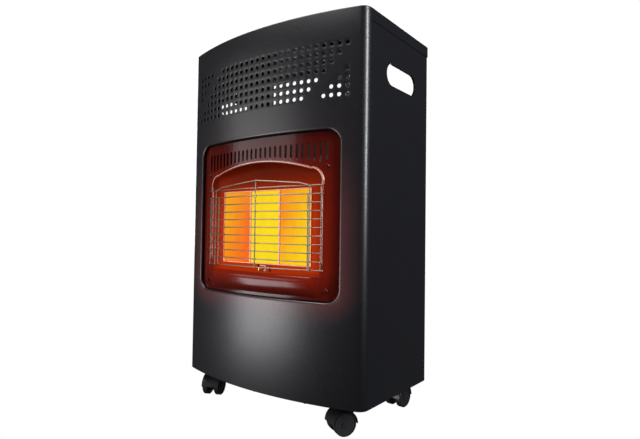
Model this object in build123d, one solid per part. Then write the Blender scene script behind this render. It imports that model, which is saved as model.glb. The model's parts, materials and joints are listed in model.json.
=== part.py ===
"""Portable gas cabinet heater: a bowed, perforated steel cabinet on four twin-wheel castors, with an
enamelled fascia, a three-plaque infrared burner behind a wire guard, and a lift-off rear cover.

Millimetres. +X is the viewer's right facing the front, +Y points to the rear, +Z up. The origin is on
the floor, under the middle of the whole heater.
"""

import math
import os

from build123d import *

os.makedirs("parts", exist_ok=True)

# ---------------------------------------------------------------- cabinet
cabinet_width = 430.0
side_depth = 213.0  # from the front shell's rear edge to the rear of the cabinet
front_bow = 34.0  # how far the middle of the front stands ahead of its corners
corner_radius = 18.0
corner_straight = 0.42  # how far the shell runs straight back behind its rounded corners
body_height = 658.0
floor_gap = 51.0
sheet = 1.0  # every cabinet panel is this thick
seat_gap = 0.3  # air between a piece and the curved or moving thing it sits by
edge_roll = 2.0  # outside radius of the shell's top and bottom edges
shell_lip = 14.0  # width of the shell's turned-in top and bottom lips
seam_flange = 12.0  # width of the flanges that join the shell and the side panels

# ---------------------------------------------------------------- perforations
hole_across = 7.0
hole_pitch = 14.2
hole_sides = 8
hole_columns = 27
hole_rows = 7
triangle_rows = 4  # rows of the small corner triangles
top_row_drop = 58.0  # from the cabinet's top down to the first row

# ---------------------------------------------------------------- front opening and fascia
opening_width = 342.0
opening_bottom = 221.0
opening_top = 509.0
opening_radius = 24.0
collar_depth = 10.0  # how far the opening's edge turns in
fascia_inset = 6.5  # fascia face behind the shell's outer face
fascia_gap = 1.5  # shadow gap between collar and fascia
fascia_flange = 10.0
fascia_sheet = 1.0

arch_half_width = 135.0
arch_below_hood = 5.5  # arch's bottom edge below the hood's floor
arch_side_top = 414.0
arch_shoulder_x = 112.0
arch_shoulder_z = 446.0
arch_crown = 463.0
bead_width = 3.5
bead_height = 1.8

slot_count = 26
slot_pitch = 11.6
slot_width = 5.0
slot_top = 490.0
slot_bottom_middle = 470.0
slot_bottom_rise = 18.0  # how much lower the outermost slots end

sill_half_width = 132.0
sill_nose_inset = 0.8
sill_foot_rise = 7.0  # sill's foot above the opening's bottom edge
sill_back_depth = 20.0
sill_nose_drop = 13.0  # nose below the arch's bottom edge
sill_top_rise = 0.6  # back of the sill above the arch's bottom edge
sill_wall = 1.2

# ---------------------------------------------------------------- burner
plaque_width = 70.0
plaque_height = 134.0
plaque_thickness = 13.0
plaque_gap = 3.5
plaque_middle_z = 346.0
plaque_lead = 20.0  # how far the plaques' faces stand ahead of the shell's rear edge
frame_border = 1.6
frame_corner = 3.0
window_corner = 9.0  # the frame rounds off the burner's outer corners
frame_proud = 1.5
frame_thickness = 3.0
gasket_thickness = 1.0
gasket_air = 0.1
burner_depth = 32.0
burner_wall = 1.2
reflector_sheet = 0.8
mouth_growth = 2.0  # the hood's mouth is this much wider than the arch, on each side
mouth_step = 2.0  # the hood's floor above the arch's bottom edge
reflector_half_width = 122.0
reflector_drop = 9.2  # the hood's floor below the burner
reflector_side_top = 404.0
reflector_shoulder_x = 103.0
reflector_shoulder_z = 432.0
reflector_crown = 447.0
reflector_ear_start = 125.0  # the hood's screwed side flanges, from here outward
reflector_ear_end = 154.0
reflector_ear_margin = 7.0

venturi_radius = 11.0
venturi_wall = 1.2
venturi_length = 38.0
venturi_flare = 4.0
jet_radius = 5.0
jet_height = 12.0
jet_tip_radius = 3.0
jet_bore = 1.0
jet_air_gap = 3.0
plaque_ledge = 3.5  # ledge behind the plaques' edges
manifold_size = 12.0
manifold_length = 176.0
manifold_bore = 3.0
bracket_sheet = 1.5
bracket_width = 16.0
bracket_x = 40.0
pilot_reach = 3.8  # pilot parts ahead of the plaques' faces
pilot_plate_drop = 25.0  # pilot bracket's floor below the burner
pilot_plate_front = 10.0  # how far that floor reaches ahead of the pilot parts
pilot_half_width = 21.0
pilot_middle_x = 5.0
pilot_burner_x = -8.0
electrode_x = 6.0
thermocouple_x = 18.0
pilot_radius = 3.2
electrode_radius = 2.5
electrode_wire = 0.8
thermocouple_radius = 1.6
nut_radius = 4.5
nut_height = 4.0
tail_length = 9.0  # what hangs below the pilot bracket's floor

# ---------------------------------------------------------------- wire guard
wire_radius = 1.1
wire_sides = 6
guard_rows = 11
guard_pitch = 14.4
guard_bottom = 273.0
guard_half_width = 138.0
guard_inset = 3.2  # middle of the bowed wires behind the shell's outer face
guard_post_x = 117.5
guard_shoulder_x = 97.0
guard_shoulder_rise = 5.0
guard_peak_rise = 13.5
guard_back_post_x = 112.0
guard_layer = 1.75  # from one layer of welded wires to the next
guard_leg_x = 142.0
guard_leg_reach = 11.0

# ---------------------------------------------------------------- rear cover
cover_bottom_gap = 2.0
cover_height = 447.0
cover_side_margin = 3.0
cover_return = 12.0
hook_width = 6.0
hook_height = 3.0
hook_reach = 8.0
cover_lift = 10.0
cover_slot_width = 60.0
cover_slot_height = 5.0
cover_slot_pitch = 12.0
cover_slot_rows = 5
cover_slot_columns = 4
cover_slot_spread = 1.35  # slot pitch as a share of slot length
cover_slot_margin = 70.0
hook_shares = (0.12, 0.85)  # hook heights as shares of the cover's height

# ---------------------------------------------------------------- side panels
rear_flange = 18.0
grip_length = 108.0
grip_height = 38.0
grip_middle_z = 615.0
grip_collar = 4.0
grip_wall = 1.2
skirt_height = 21.0
rear_skirt_height = 8.0

# ---------------------------------------------------------------- base
base_sheet = 1.2
base_rim = 15.0
ring_radius = 80.0
ring_height = 2.0
ring_width = 6.0
base_slot_length = 60.0
base_slot_width = 6.0
base_slot_x = 110.0

# ---------------------------------------------------------------- controls
tray_width = 130.0
tray_depth = 80.0
tray_rim = 4.0
tray_rim_height = 1.5
tray_wall = 2.0
tray_floor_drop = 24.0
tray_middle_x = 118.0
tray_behind_seam = 100.0
tray_corner = 8.0
knob_offset = 22.0  # knob's middle to the left of the tray's middle
button_offset = 38.0
knob_radius = 19.0
knob_height = 16.0
knob_push = 4.0
knob_float = 5.0
knob_flutes = 12
flute_radius = 2.2
knob_cap = 3.0
spindle_radius = 4.0
spindle_in_valve = 20.0
spindle_in_knob = 8.0
running_gap = 0.05
button_radius = 7.0
button_length = 20.0
button_push = 4.0
button_proud = 10.0
end_play = 0.5
spindle_flat = 1.2  # how deep the spindle's flat is cut
knob_mark_width = 1.6
knob_mark_depth = 0.8
piezo_radius = 10.0
piezo_length = 30.0
valve_width = 30.0
valve_depth = 40.0
valve_height = 46.0
nozzle_radius = 4.5
nozzle_land = 16.0
nozzle_length = 34.0
nozzle_hex = 17.0
nozzle_hex_height = 8.0
nozzle_neck_radius = 6.0
nozzle_bore = 2.5
nozzle_above_valve_bottom = 13.0

# ---------------------------------------------------------------- heat shield and gas tubes
shield_behind_seam = 26.0
shield_below_runs = 6.0  # the shield's lower edge below the lowest tube
shield_above_hood = 60.0  # tall enough to stand behind the fascia's slots
shield_flange = 12.0
main_tube_radius = 4.0
pilot_tube_radius = 2.0
lead_radius = 2.2
sensor_lead_radius = 1.2
tube_sides = 8
tube_bend = 15.0
port_depth = 4.0
pass_hole_clearance = 2.0
line_behind_shield = 14.0
main_run = (140.0, 14.0, -8.0)  # x of the drop, height above the valve's underside, y from its middle
pilot_run = (148.0, 4.0, 4.0)
sensor_run = (131.0, 36.0, 12.0)
lead_drop = 26.0  # straight drop of the ignition lead below the piezo igniter
pilot_run_drop = 47.2  # the forward runs below the ends of the pilot parts
lead_run_drop = 37.2
sensor_run_drop = 17.2

# ---------------------------------------------------------------- castors
wheel_radius = 20.0
wheel_width = 11.0
wheel_dish = 1.2
web_width = 13.0
wheel_side_gap = 0.4
hood_gap = 1.2
hood_wall = 1.6
castor_trail = 16.0
axle_radius = 3.0
stem_radius = 4.0
boss_radius = 6.4
boss_top = 48.0
boss_bottom = 20.0
stem_bottom = 30.0
stem_top = 64.0
stem_collar_radius = 5.6
stem_collar_height = 1.5
web_lower_radius = 12.0
axle_half_length = 15.6
socket_flange_radius = 12.0
socket_flange_height = 2.0
socket_radius = 8.0
socket_depth = 15.0
castor_from_side = 48.0
castor_front_behind_seam = 20.0
castor_rear_behind_seam = 172.0
rest_turn = {"front_left": 25.0, "front_right": -31.0, "rear_left": 158.0, "rear_right": 175.5}

# ---------------------------------------------------------------- screws
screw_head_radius = 3.6
screw_head_height = 2.2
screw_x = 147.0
screw_low_z = 240.0
screw_high_z = 448.8
screw_shank_radius = 1.5
screw_shank_length = 6.0
screw_recess = 1.0
base_screw_x = 110.0
base_screw_inset = 8.0

# ---------------------------------------------------------------- places worked out from the sizes
half_width = cabinet_width / 2
bow_radius = (half_width**2 + front_bow**2) / (2 * front_bow)
corner_turn = math.pi / 2 - math.asin(half_width / bow_radius)
corner_lead = corner_radius * math.tan(corner_turn / 2) + corner_straight
total_depth = side_depth + corner_lead + front_bow
rear_y = total_depth / 2
front_y = -total_depth / 2
seam_y = rear_y - side_depth
bow_centre_y = front_y + bow_radius
body_top = floor_gap + body_height
sill_foot_z = opening_bottom + sill_foot_rise
opening_middle_z = (opening_bottom + opening_top) / 2
opening_height = opening_top - opening_bottom
panel_x = half_width - sheet  # outer face of a side panel
inner_x = panel_x - sheet
flange_y = rear_y - sheet - seat_gap  # rear face of the side panels' rear flanges
grip_y = (seam_y + rear_y) / 2
fascia_flange_inset = collar_depth + seat_gap
plaque_y = seam_y - plaque_lead
plaque_pitch = plaque_width + plaque_gap
plaques_width = 3 * plaque_width + 2 * plaque_gap
plaque_seat = gasket_thickness + gasket_air
backplate_y = plaque_y - frame_proud + frame_thickness
burner_y = backplate_y + reflector_sheet
burner_bottom = plaque_middle_z - plaque_height / 2 - plaque_seat - burner_wall
reflector_bottom = burner_bottom - reflector_drop
arch_bottom = reflector_bottom - arch_below_hood
venturi_y = burner_y + burner_depth / 2
venturi_bottom = burner_bottom - venturi_length
jet_top = venturi_bottom - jet_air_gap
manifold_top = jet_top - jet_height
manifold_middle_z = manifold_top - manifold_size / 2
guard_top = guard_bottom + (guard_rows - 1) * guard_pitch
base_bottom = floor_gap + sheet
tray_y = seam_y + tray_behind_seam
tray_floor_z = body_top - tray_floor_drop
valve_top = tray_floor_z - tray_wall
valve_bottom = valve_top - valve_height
valve_x = tray_middle_x - knob_offset
button_x = tray_middle_x + button_offset
knob_bottom = tray_floor_z + knob_float
pilot_y = plaque_y - pilot_reach
pilot_floor_z = burner_bottom - pilot_plate_drop
pilot_tail_z = pilot_floor_z - tail_length
pilot_run_z = pilot_tail_z - pilot_run_drop
lead_run_z = pilot_tail_z - lead_run_drop
sensor_run_z = pilot_tail_z - sensor_run_drop
shield_y = seam_y + shield_behind_seam
shield_bottom = pilot_run_z - shield_below_runs
shield_top = reflector_crown + shield_above_hood
castor_x = half_width - castor_from_side
castor_places = {
    "front_left": (-castor_x, seam_y + castor_front_behind_seam),
    "front_right": (castor_x, seam_y + castor_front_behind_seam),
    "rear_left": (-castor_x, seam_y + castor_rear_behind_seam),
    "rear_right": (castor_x, seam_y + castor_rear_behind_seam),
}


# ---------------------------------------------------------------- shared shapes
def bow_y(x, inset):
    """Y of the bowed front at x, so far behind its outer face."""
    return bow_centre_y - math.sqrt((bow_radius - inset) ** 2 - x**2)


def bowed_region(inset, back):
    """Plan of all that lies behind the bowed front, as far as the back line, with rounded corners."""
    reach = half_width - inset
    corner = bow_y(reach, inset)
    front = ThreePointArc((-reach, corner), (0, front_y + inset), (reach, corner))
    sides = Polyline((reach, corner), (reach, back), (-reach, back), (-reach, corner))
    plan = make_face(front.edges() + sides.edges())
    return fillet(plan.vertices().group_by(Axis.Y)[0], corner_radius - inset)


def bowed_slab(half, inset, thickness, bottom, top):
    """A wall that follows the bow, standing between two heights."""
    back = inset + thickness
    front_side = (half, bow_y(half, inset))
    back_side = (half, bow_y(half, back))
    outer = ThreePointArc((-front_side[0], front_side[1]), (0, bow_y(0, inset)), front_side)
    inner = ThreePointArc(back_side, (0, bow_y(0, back)), (-back_side[0], back_side[1]))
    ends = [Line(outer @ 1, inner @ 0), Line(inner @ 1, outer @ 0)]
    plan = make_face(outer.edges() + inner.edges() + ends[0].edges() + ends[1].edges())
    return Pos(0, 0, bottom) * extrude(plan, top - bottom)


def front_plane(y):
    """A plane facing the front, whose own axes are +X and +Z."""
    return Plane(origin=(0, y, 0), x_dir=(1, 0, 0), z_dir=(0, -1, 0))


def forward_prism(sketch, back, front):
    """A sketch seen from the front, as a prism between two depths."""
    return extrude(front_plane(back) * sketch, back - front)


def block(x, y, z):
    """A box from its low and high values on each axis."""
    size = (x[1] - x[0], y[1] - y[0], z[1] - z[0])
    middle = ((x[0] + x[1]) / 2, (y[0] + y[1]) / 2, (z[0] + z[1]) / 2)
    return Pos(*middle) * Box(*size)


def upright(radius, bottom, top, x=0.0, y=0.0):
    """A vertical round bar."""
    return Pos(x, y, (bottom + top) / 2) * Cylinder(radius, top - bottom)


def opening_outline(growth):
    """The front opening's rounded rectangle, made larger or smaller all round."""
    width, height = opening_width + 2 * growth, opening_height + 2 * growth
    return Pos(0, opening_middle_z) * RectangleRounded(width, height, opening_radius + growth)


def arch_outline(half, bottom, side_top, shoulder_x, shoulder_z, crown):
    """The arch over the burner: straight sides, round shoulders and a shallow crown."""
    side = (half, side_top)
    shoulder = (shoulder_x, shoulder_z)
    lean = math.cos(math.atan2(crown - shoulder_z, shoulder_x))
    bulge = lean * math.hypot(half - shoulder_x, shoulder_z - side_top) / 2 * math.tan(math.pi / 8)
    middle = ((half + shoulder_x) / 2 + bulge, (side_top + shoulder_z) / 2 + bulge)
    mirrored = [(-x, z) for x, z in (side, middle, shoulder)]
    edges = [
        Line((-half, bottom), (half, bottom)),
        Line((half, bottom), side),
        ThreePointArc(side, middle, shoulder),
        ThreePointArc(shoulder, (0, crown), mirrored[2]),
        ThreePointArc(mirrored[2], mirrored[1], mirrored[0]),
        Line(mirrored[0], (-half, bottom)),
    ]
    return make_face([edge.edges()[0] for edge in edges])


def face_arch():
    shoulder = (arch_shoulder_x, arch_shoulder_z)
    return arch_outline(arch_half_width, arch_bottom, arch_side_top, *shoulder, arch_crown)


# ---------------------------------------------------------------- cabinet panels
def hole_is_punched(row, column):
    """The pattern: a slanted block between two corner triangles, set apart by slanted gaps."""
    last_row, last_column = hole_rows - 1, hole_columns - 1
    in_block = row <= column <= last_column - (last_row - row)
    in_right = column <= row - (hole_rows - triangle_rows)
    in_left = last_column - column <= last_row - row - (hole_rows - triangle_rows)
    return in_block or in_right or in_left


def perforations():
    """All the holes of the front's upper band, as one set of prisms."""
    corner = hole_across / 2 / math.cos(math.pi / hole_sides)
    hole = RegularPolygon(corner, hole_sides, rotation=180 / hole_sides)
    middle = (hole_columns - 1) / 2
    places = []
    for row in range(hole_rows):
        for column in range(hole_columns):
            if hole_is_punched(row, column):
                x = bow_radius * math.sin((middle - column) * hole_pitch / bow_radius)
                places.append(Pos(x, body_top - top_row_drop - row * hole_pitch))
    return forward_prism(Sketch() + [place * hole for place in places], seam_y, front_y - sheet)


def seam_joint(side, front):
    """The inward flange along a seam between the shell and a side panel."""
    x = sorted((side * panel_x, side * (panel_x - seam_flange)))
    tall = (base_bottom + base_rim + sheet, body_top - 2 * sheet - seat_gap)
    return block(x, (front, front + sheet), tall)


def front_shell():
    skin = Pos(0, 0, floor_gap) * extrude(bowed_region(0, seam_y), body_height)
    ends = skin.faces().filter_by(Axis.Z)
    rolled = [edge for face in ends for edge in face.edges() if edge.center().Y < seam_y - sheet / 2]
    skin = fillet(rolled, edge_roll)
    inside = extrude(bowed_region(sheet, seam_y), body_height - 2 * sheet)
    throat = extrude(bowed_region(shell_lip, seam_y), body_height)
    shell = skin - Pos(0, 0, floor_gap + sheet) * inside - Pos(0, 0, floor_gap) * throat
    for side in (-1, 1):
        shell += seam_joint(side, seam_y - sheet)
    collar = forward_prism(opening_outline(sheet) - opening_outline(0), seam_y, front_y)
    collar &= bowed_slab(half_width, 0, collar_depth, opening_bottom - 2 * sheet, opening_top + 2 * sheet)
    shell = shell - forward_prism(opening_outline(0), seam_y, front_y - sheet) + collar
    for x in (-base_screw_x, 0, base_screw_x):
        drill = screw_shank_radius + running_gap
        shell -= upright(drill, floor_gap, base_bottom, x, bow_y(x, base_screw_inset))
    return shell - perforations()


def hook_heights():
    """Heights of the lower faces of the rear cover's hooks."""
    bottom = floor_gap + cover_bottom_gap
    return [bottom + cover_height * share for share in hook_shares]


def hook_x():
    return inner_x - rear_flange / 2


def side_panel(side):
    top = body_top - sheet
    plate = block((inner_x, panel_x), (seam_y, flange_y), (floor_gap, top)) + seam_joint(1, seam_y)
    flange = block((panel_x - rear_flange, panel_x), (flange_y - sheet, flange_y), (floor_gap, top))
    panel = plate + flange
    grip = Plane(origin=(panel_x, grip_y, grip_middle_z), x_dir=(0, 1, 0), z_dir=(1, 0, 0))
    hole = SlotOverall(grip_length, grip_height)
    rim = SlotOverall(grip_length + 2 * grip_wall, grip_height + 2 * grip_wall)
    panel = panel + extrude(grip * rim, -grip_collar) - extrude(grip * hole, -grip_collar)
    for z in hook_heights():
        reach = (z - seat_gap, z + hook_height + cover_lift + seat_gap)
        width = hook_width / 2 + seat_gap
        panel -= block((hook_x() - width, hook_x() + width), (flange_y - 2 * sheet, rear_y), reach)
    return panel if side > 0 else mirror(panel, Plane.YZ)


def top_panel():
    lid = block((-half_width, half_width), (seam_y + seat_gap, rear_y), (body_top - skirt_height, body_top))
    top_edges = lid.faces().sort_by(Axis.Z)[-1].edges()
    lid = fillet([edge for edge in top_edges if edge.center().Y > seam_y + sheet], edge_roll)
    lid -= block((-panel_x, panel_x), (front_y, rear_y - sheet), (floor_gap, body_top - sheet))
    lid -= block((-panel_x, panel_x), (front_y, rear_y + sheet), (floor_gap, body_top - rear_skirt_height))
    plate = extrude(bowed_region(shell_lip + seat_gap, seam_y + sheet), sheet)
    tab = extrude(bowed_region(shell_lip / 2, seam_y) - bowed_region(shell_lip + 3 * sheet, seam_y), sheet)
    lid += Pos(0, 0, body_top - sheet) * plate
    lid += Pos(0, 0, body_top - 2 * sheet) * tab
    cutout = RectangleRounded(tray_width - 2 * tray_rim, tray_depth - 2 * tray_rim, tray_corner)
    return lid - Pos(tray_middle_x, tray_y, body_top - skirt_height) * extrude(cutout, 2 * skirt_height)


def base_tray():
    back = flange_y - sheet - seat_gap
    floor = extrude(bowed_region(2 * sheet, back), base_sheet)
    rim = bowed_region(2 * sheet, back) - bowed_region(2 * sheet + base_sheet, back - base_sheet)
    ring_y = (shield_y + back) / 2
    ring = Cylinder(ring_radius, ring_height) - Cylinder(ring_radius - ring_width, ring_height)
    tray = floor + extrude(rim, base_rim) + Pos(0, ring_y, base_sheet + ring_height / 2) * ring
    slot = extrude(SlotOverall(base_slot_length, base_slot_width), base_sheet)
    for x in (-base_slot_x, base_slot_x):
        tray -= Pos(x, ring_y, 0) * Rot(0, 0, 90) * slot
    for x, y in castor_places.values():
        tray -= upright(socket_radius + running_gap, 0, base_sheet, x, y)
    for x in (-base_screw_x, 0, base_screw_x):
        tray -= upright(screw_shank_radius + running_gap, 0, base_sheet, x, bow_y(x, base_screw_inset))
    return Pos(0, 0, base_bottom) * tray


def rear_cover():
    width = half_width - cover_side_margin
    bottom = floor_gap + cover_bottom_gap
    top = bottom + cover_height
    between = panel_x - rear_flange - cover_side_margin
    cover = block((-width, width), (rear_y - sheet, rear_y), (bottom, top))
    cover += block((-between, between), (rear_y - cover_return, rear_y), (top - sheet, top))
    for x in (-between, between - sheet):
        cover += block((x, x + sheet), (rear_y - cover_return, rear_y), (bottom + base_rim + sheet, top))
    slot = SlotOverall(cover_slot_width, cover_slot_height)
    spread = cover_slot_width * cover_slot_spread
    grid = GridLocations(spread, cover_slot_pitch, cover_slot_columns, cover_slot_rows)
    for z in (bottom + cover_slot_margin, top - cover_slot_margin):
        slots = Sketch() + [Pos(0, z) * place * slot for place in grid]
        cover -= forward_prism(slots, rear_y + sheet, rear_y - 2 * sheet)
    for z in hook_heights():
        for side in (-1, 1):
            x = (side * hook_x() - hook_width / 2, side * hook_x() + hook_width / 2)
            back = flange_y - sheet - seat_gap
            cover += block(x, (back - sheet, rear_y), (z, z + hook_height))
            cover += block(x, (back - sheet, back), (z - hook_reach, z + hook_height))
    return cover


# ---------------------------------------------------------------- fascia and reflector
def bow_turn(x):
    """The turn about the bow's centre, in degrees, of a place on the fascia's face."""
    return math.degrees(math.asin(x / (bow_radius - fascia_inset)))


def radial(x, z, inset):
    """A place so far behind the bowed front, whose -Y axis points straight out of it."""
    return Pos(0, bow_centre_y, z) * Rot(0, 0, bow_turn(x)) * Pos(0, inset - bow_radius, 0)


def front_holes():
    """Holes for the fascia's screws and for the guard's legs."""
    holes = []
    for side in (-1, 1):
        for z in (screw_low_z, screw_high_z):
            drill = Cylinder(screw_shank_radius + running_gap, 2 * shell_lip)
            holes.append(radial(side * screw_x, z, 0) * Rot(90, 0, 0) * drill)
        for z in guard_leg_heights():
            drill = Cylinder(wire_radius + seat_gap, 2 * shell_lip)
            holes.append(radial(side * guard_leg_x, z, 0) * Rot(90, 0, 0) * drill)
    return holes


def fascia_slots():
    """The comb of slots over the arch: level at the top, lower at the ends."""
    slots = []
    for index in range(slot_count):
        x = (index - (slot_count - 1) / 2) * slot_pitch
        bottom = slot_bottom_middle - slot_bottom_rise * (x / screw_x) ** 2
        shape = Rot(0, 0, 90) * SlotOverall(slot_top - bottom, slot_width)
        slots.append(Pos(x, (slot_top + bottom) / 2) * shape)
    return forward_prism(Sketch() + slots, seam_y, front_y)


def sill_section():
    """The sill's side view as a filled outline, drawn in the plane x = 0."""
    nose_z = arch_bottom - sill_nose_drop
    top_z = arch_bottom + sill_top_rise
    foot = (front_y + fascia_inset, sill_foot_z)
    nose = (front_y + sill_nose_inset, nose_z)
    back = (front_y + sill_back_depth, top_z)
    rise = TangentArc(nose, foot, tangent=(0, -1))
    over = Bezier(nose, (nose[0], top_z), (front_y + fascia_inset, top_z), back)
    rear = Polyline(back, (back[0], sill_foot_z), foot)
    return Plane.YZ * make_face(rise.edges() + over.edges() + rear.edges())


def around_bow(section, half):
    """A section at x = 0 carried round the bow as far as x = half on both sides."""
    turn = bow_turn(half)
    axis = Axis((0, bow_centre_y, 0), (0, 0, 1))
    return revolve(section.rotate(axis, -turn), axis, 2 * turn)


def fascia():
    depth = fascia_flange_inset + fascia_sheet - fascia_inset
    tall = (opening_bottom - fascia_flange, opening_top + fascia_flange)
    skirt = forward_prism(opening_outline(-fascia_gap), seam_y, front_y)
    skirt &= bowed_slab(half_width, fascia_inset, depth, *tall)
    pan = forward_prism(opening_outline(-fascia_gap - fascia_sheet), seam_y, front_y)
    pan &= bowed_slab(half_width, fascia_inset + fascia_sheet, depth, *tall)
    ring = opening_outline(fascia_flange - fascia_gap) - opening_outline(-fascia_gap - fascia_sheet)
    flange = forward_prism(ring, seam_y, front_y)
    flange &= bowed_slab(half_width, fascia_flange_inset, fascia_sheet, *tall)
    bead = forward_prism(offset(face_arch(), bead_width), seam_y, front_y)
    bead &= bowed_slab(half_width, fascia_inset - bead_height, bead_height + fascia_sheet, *tall)
    section = sill_section()
    sill = around_bow(section, sill_half_width)
    hollow = around_bow(Pos(0, sill_wall, 0) * section & Pos(0, sill_wall, -sill_wall) * section,
                        sill_half_width - sill_wall)
    panel = skirt - pan + flange + bead - forward_prism(face_arch(), seam_y, front_y)
    return panel - fascia_slots() + sill - hollow - front_holes()


def hood_loft(growth):
    """The reflector's tapering volume, from the arch back to the burner."""
    mouth = arch_outline(
        arch_half_width + mouth_growth + growth, arch_bottom + mouth_step - growth, arch_side_top,
        arch_shoulder_x + mouth_growth + growth, arch_shoulder_z + mouth_growth + growth,
        arch_crown + mouth_growth + growth,
    )
    throat = arch_outline(
        reflector_half_width + growth, reflector_bottom - growth, reflector_side_top,
        reflector_shoulder_x + growth, reflector_shoulder_z + growth, reflector_crown + growth,
    )
    return loft([front_plane(front_y) * mouth, front_plane(backplate_y) * throat], ruled=True)


def reflector():
    front_inset = fascia_inset + fascia_sheet + seat_gap
    behind = bowed_slab(half_width - corner_radius, front_inset, total_depth / 2, 0, body_height)
    inside = hood_loft(0)
    hood = (hood_loft(reflector_sheet) - inside) & behind
    back = arch_outline(
        reflector_half_width + reflector_sheet, reflector_bottom - reflector_sheet, reflector_side_top,
        reflector_shoulder_x + reflector_sheet, reflector_shoulder_z + reflector_sheet,
        reflector_crown + reflector_sheet,
    )
    hole = Rectangle(plaques_width + 2 * plaque_seat, plaque_height + 2 * plaque_seat)
    hood += forward_prism(back - Pos(0, plaque_middle_z) * hole, burner_y, backplate_y)
    low, high = screw_low_z - reflector_ear_margin, screw_high_z + reflector_ear_margin
    ears = bowed_slab(reflector_ear_end, front_inset, reflector_sheet, low, high)
    ears -= block((-reflector_ear_start, reflector_ear_start), (front_y, rear_y), (low, high))
    sill_end, sill_top = sill_half_width + seat_gap, arch_bottom + sill_top_rise + seat_gap
    ears -= block((-sill_end, sill_end), (front_y, rear_y), (low, sill_top))
    hood = hood + (ears - inside) - front_holes()
    cut = (pilot_middle_x - pilot_half_width, pilot_middle_x + pilot_half_width)
    return hood - block(cut, (pilot_y - pilot_plate_front, backplate_y), (base_bottom, reflector_bottom))


# ---------------------------------------------------------------- burner
def plaque_places():
    return {"left": -plaque_pitch, "centre": 0.0, "right": plaque_pitch}


def plaque_prism(x, growth, front, back):
    """A plaque-shaped block standing at x, made larger all round by the growth."""
    half, tall = plaque_width / 2 + growth, plaque_height / 2 + growth
    return block((x - half, x + half), (front, back), (plaque_middle_z - tall, plaque_middle_z + tall))


def burner_box(growth, front, back):
    half, tall = plaques_width / 2 + growth, plaque_height / 2 + growth
    return block((-half, half), (front, back), (plaque_middle_z - tall, plaque_middle_z + tall))


def plaque_frame():
    frame = burner_box(frame_border, plaque_y - frame_proud, backplate_y)
    frame = fillet(frame.edges().filter_by(Axis.Y), frame_corner)
    mask = RectangleRounded(plaques_width + 2 * seat_gap, plaque_height + 2 * seat_gap, window_corner)
    mask = forward_prism(Pos(0, plaque_middle_z) * mask, seam_y, front_y)
    for x in plaque_places().values():
        frame -= plaque_prism(x, seat_gap, plaque_y, seam_y)
        frame -= plaque_prism(x, seat_gap, front_y, seam_y) & mask
    return frame


def plaque(x):
    return plaque_prism(x, 0, plaque_y, plaque_y + plaque_thickness)


def plaque_gaskets():
    back = plaque_y + plaque_thickness
    rings = []
    for x in plaque_places().values():
        rings.append(plaque_prism(x, gasket_thickness, burner_y, back) - plaque_prism(x, 0, front_y, seam_y))
    return Compound(children=rings)


def burner_body():
    ledge_y = plaque_y + plaque_thickness
    bore = venturi_radius - venturi_wall
    body = burner_box(plaque_seat + burner_wall, burner_y, burner_y + burner_depth)
    for x in plaque_places().values():
        body -= plaque_prism(x, plaque_seat, front_y, ledge_y)
        body -= plaque_prism(x, -plaque_ledge, front_y, burner_y + burner_depth - burner_wall)
        body -= upright(bore, burner_bottom - burner_wall, plaque_middle_z, x, venturi_y)
    return body


def venturi_tube(x):
    mouth = venturi_bottom + 2 * venturi_flare
    outer = upright(venturi_radius, mouth, burner_bottom, x, venturi_y)
    flare_place = Pos(x, venturi_y, venturi_bottom + venturi_flare)
    outer += flare_place * Cone(venturi_radius + venturi_flare, venturi_radius, 2 * venturi_flare)
    bore = venturi_radius - venturi_wall
    outer -= flare_place * Cone(bore + venturi_flare, bore, 2 * venturi_flare)
    return outer - upright(bore, mouth, burner_bottom, x, venturi_y)


def injector(x):
    jet = upright(jet_radius, manifold_top, manifold_top + jet_height / 2, x, venturi_y)
    jet += upright(jet_tip_radius, manifold_top, jet_top, x, venturi_y)
    return jet - upright(jet_bore, manifold_top, jet_top, x, venturi_y)


def manifold():
    half, reach = manifold_size / 2, manifold_length / 2
    bottom = manifold_top - manifold_size
    bar = block((-reach, reach), (venturi_y - half, venturi_y + half), (bottom, manifold_top))
    for x in plaque_places().values():
        bar -= upright(jet_bore, manifold_middle_z, manifold_top, x, venturi_y)
    end = Pos(reach, venturi_y, manifold_middle_z) * Rot(0, 90, 0)
    bar -= end * Cylinder(main_tube_radius + running_gap, 2 * port_depth)
    length = reach + plaque_pitch + manifold_bore
    middle = Pos(reach - length / 2, venturi_y, manifold_middle_z)
    return bar - middle * Rot(0, 90, 0) * Cylinder(manifold_bore, length)


def channel_bracket(x, front, bottom, top):
    """A bent strip from a front part back to the heat shield."""
    wide = (x - bracket_width / 2, x + bracket_width / 2)
    strip = block(wide, (front, shield_y), (bottom, bottom + bracket_sheet))
    return strip + block(wide, (shield_y - bracket_sheet, shield_y), (bottom, top))


def manifold_brackets():
    bottom = manifold_top - manifold_size - bracket_sheet
    front = venturi_y - manifold_size / 2
    return Compound(children=[
        channel_bracket(x, front, bottom, manifold_top) for x in (-bracket_x, bracket_x)
    ])


def burner_brackets():
    back = burner_y + burner_depth
    brackets = []
    for x in (-plaque_pitch, plaque_pitch):
        for z in (plaque_middle_z - bracket_x, plaque_middle_z + bracket_x):
            wide = (x - bracket_width / 2, x + bracket_width / 2)
            strip = channel_bracket(x, back, z, z + bracket_width)
            brackets.append(strip + block(wide, (back, back + bracket_sheet), (z, z + bracket_width)))
    return Compound(children=brackets)


# ---------------------------------------------------------------- wire guard
def wire_section():
    return RegularPolygon(wire_radius, wire_sides)


def guard_leg_heights():
    return (guard_bottom, guard_top - guard_pitch)


def guard_row(z, half):
    section = Plane(origin=(0, front_y + guard_inset, z), x_dir=(0, 1, 0), z_dir=(1, 0, 0)) * wire_section()
    return around_bow(section, half)


def guard_post(x, inset, bottom, top):
    return Pos(x, bow_y(x, inset), bottom) * extrude(wire_section(), top - bottom)


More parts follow.
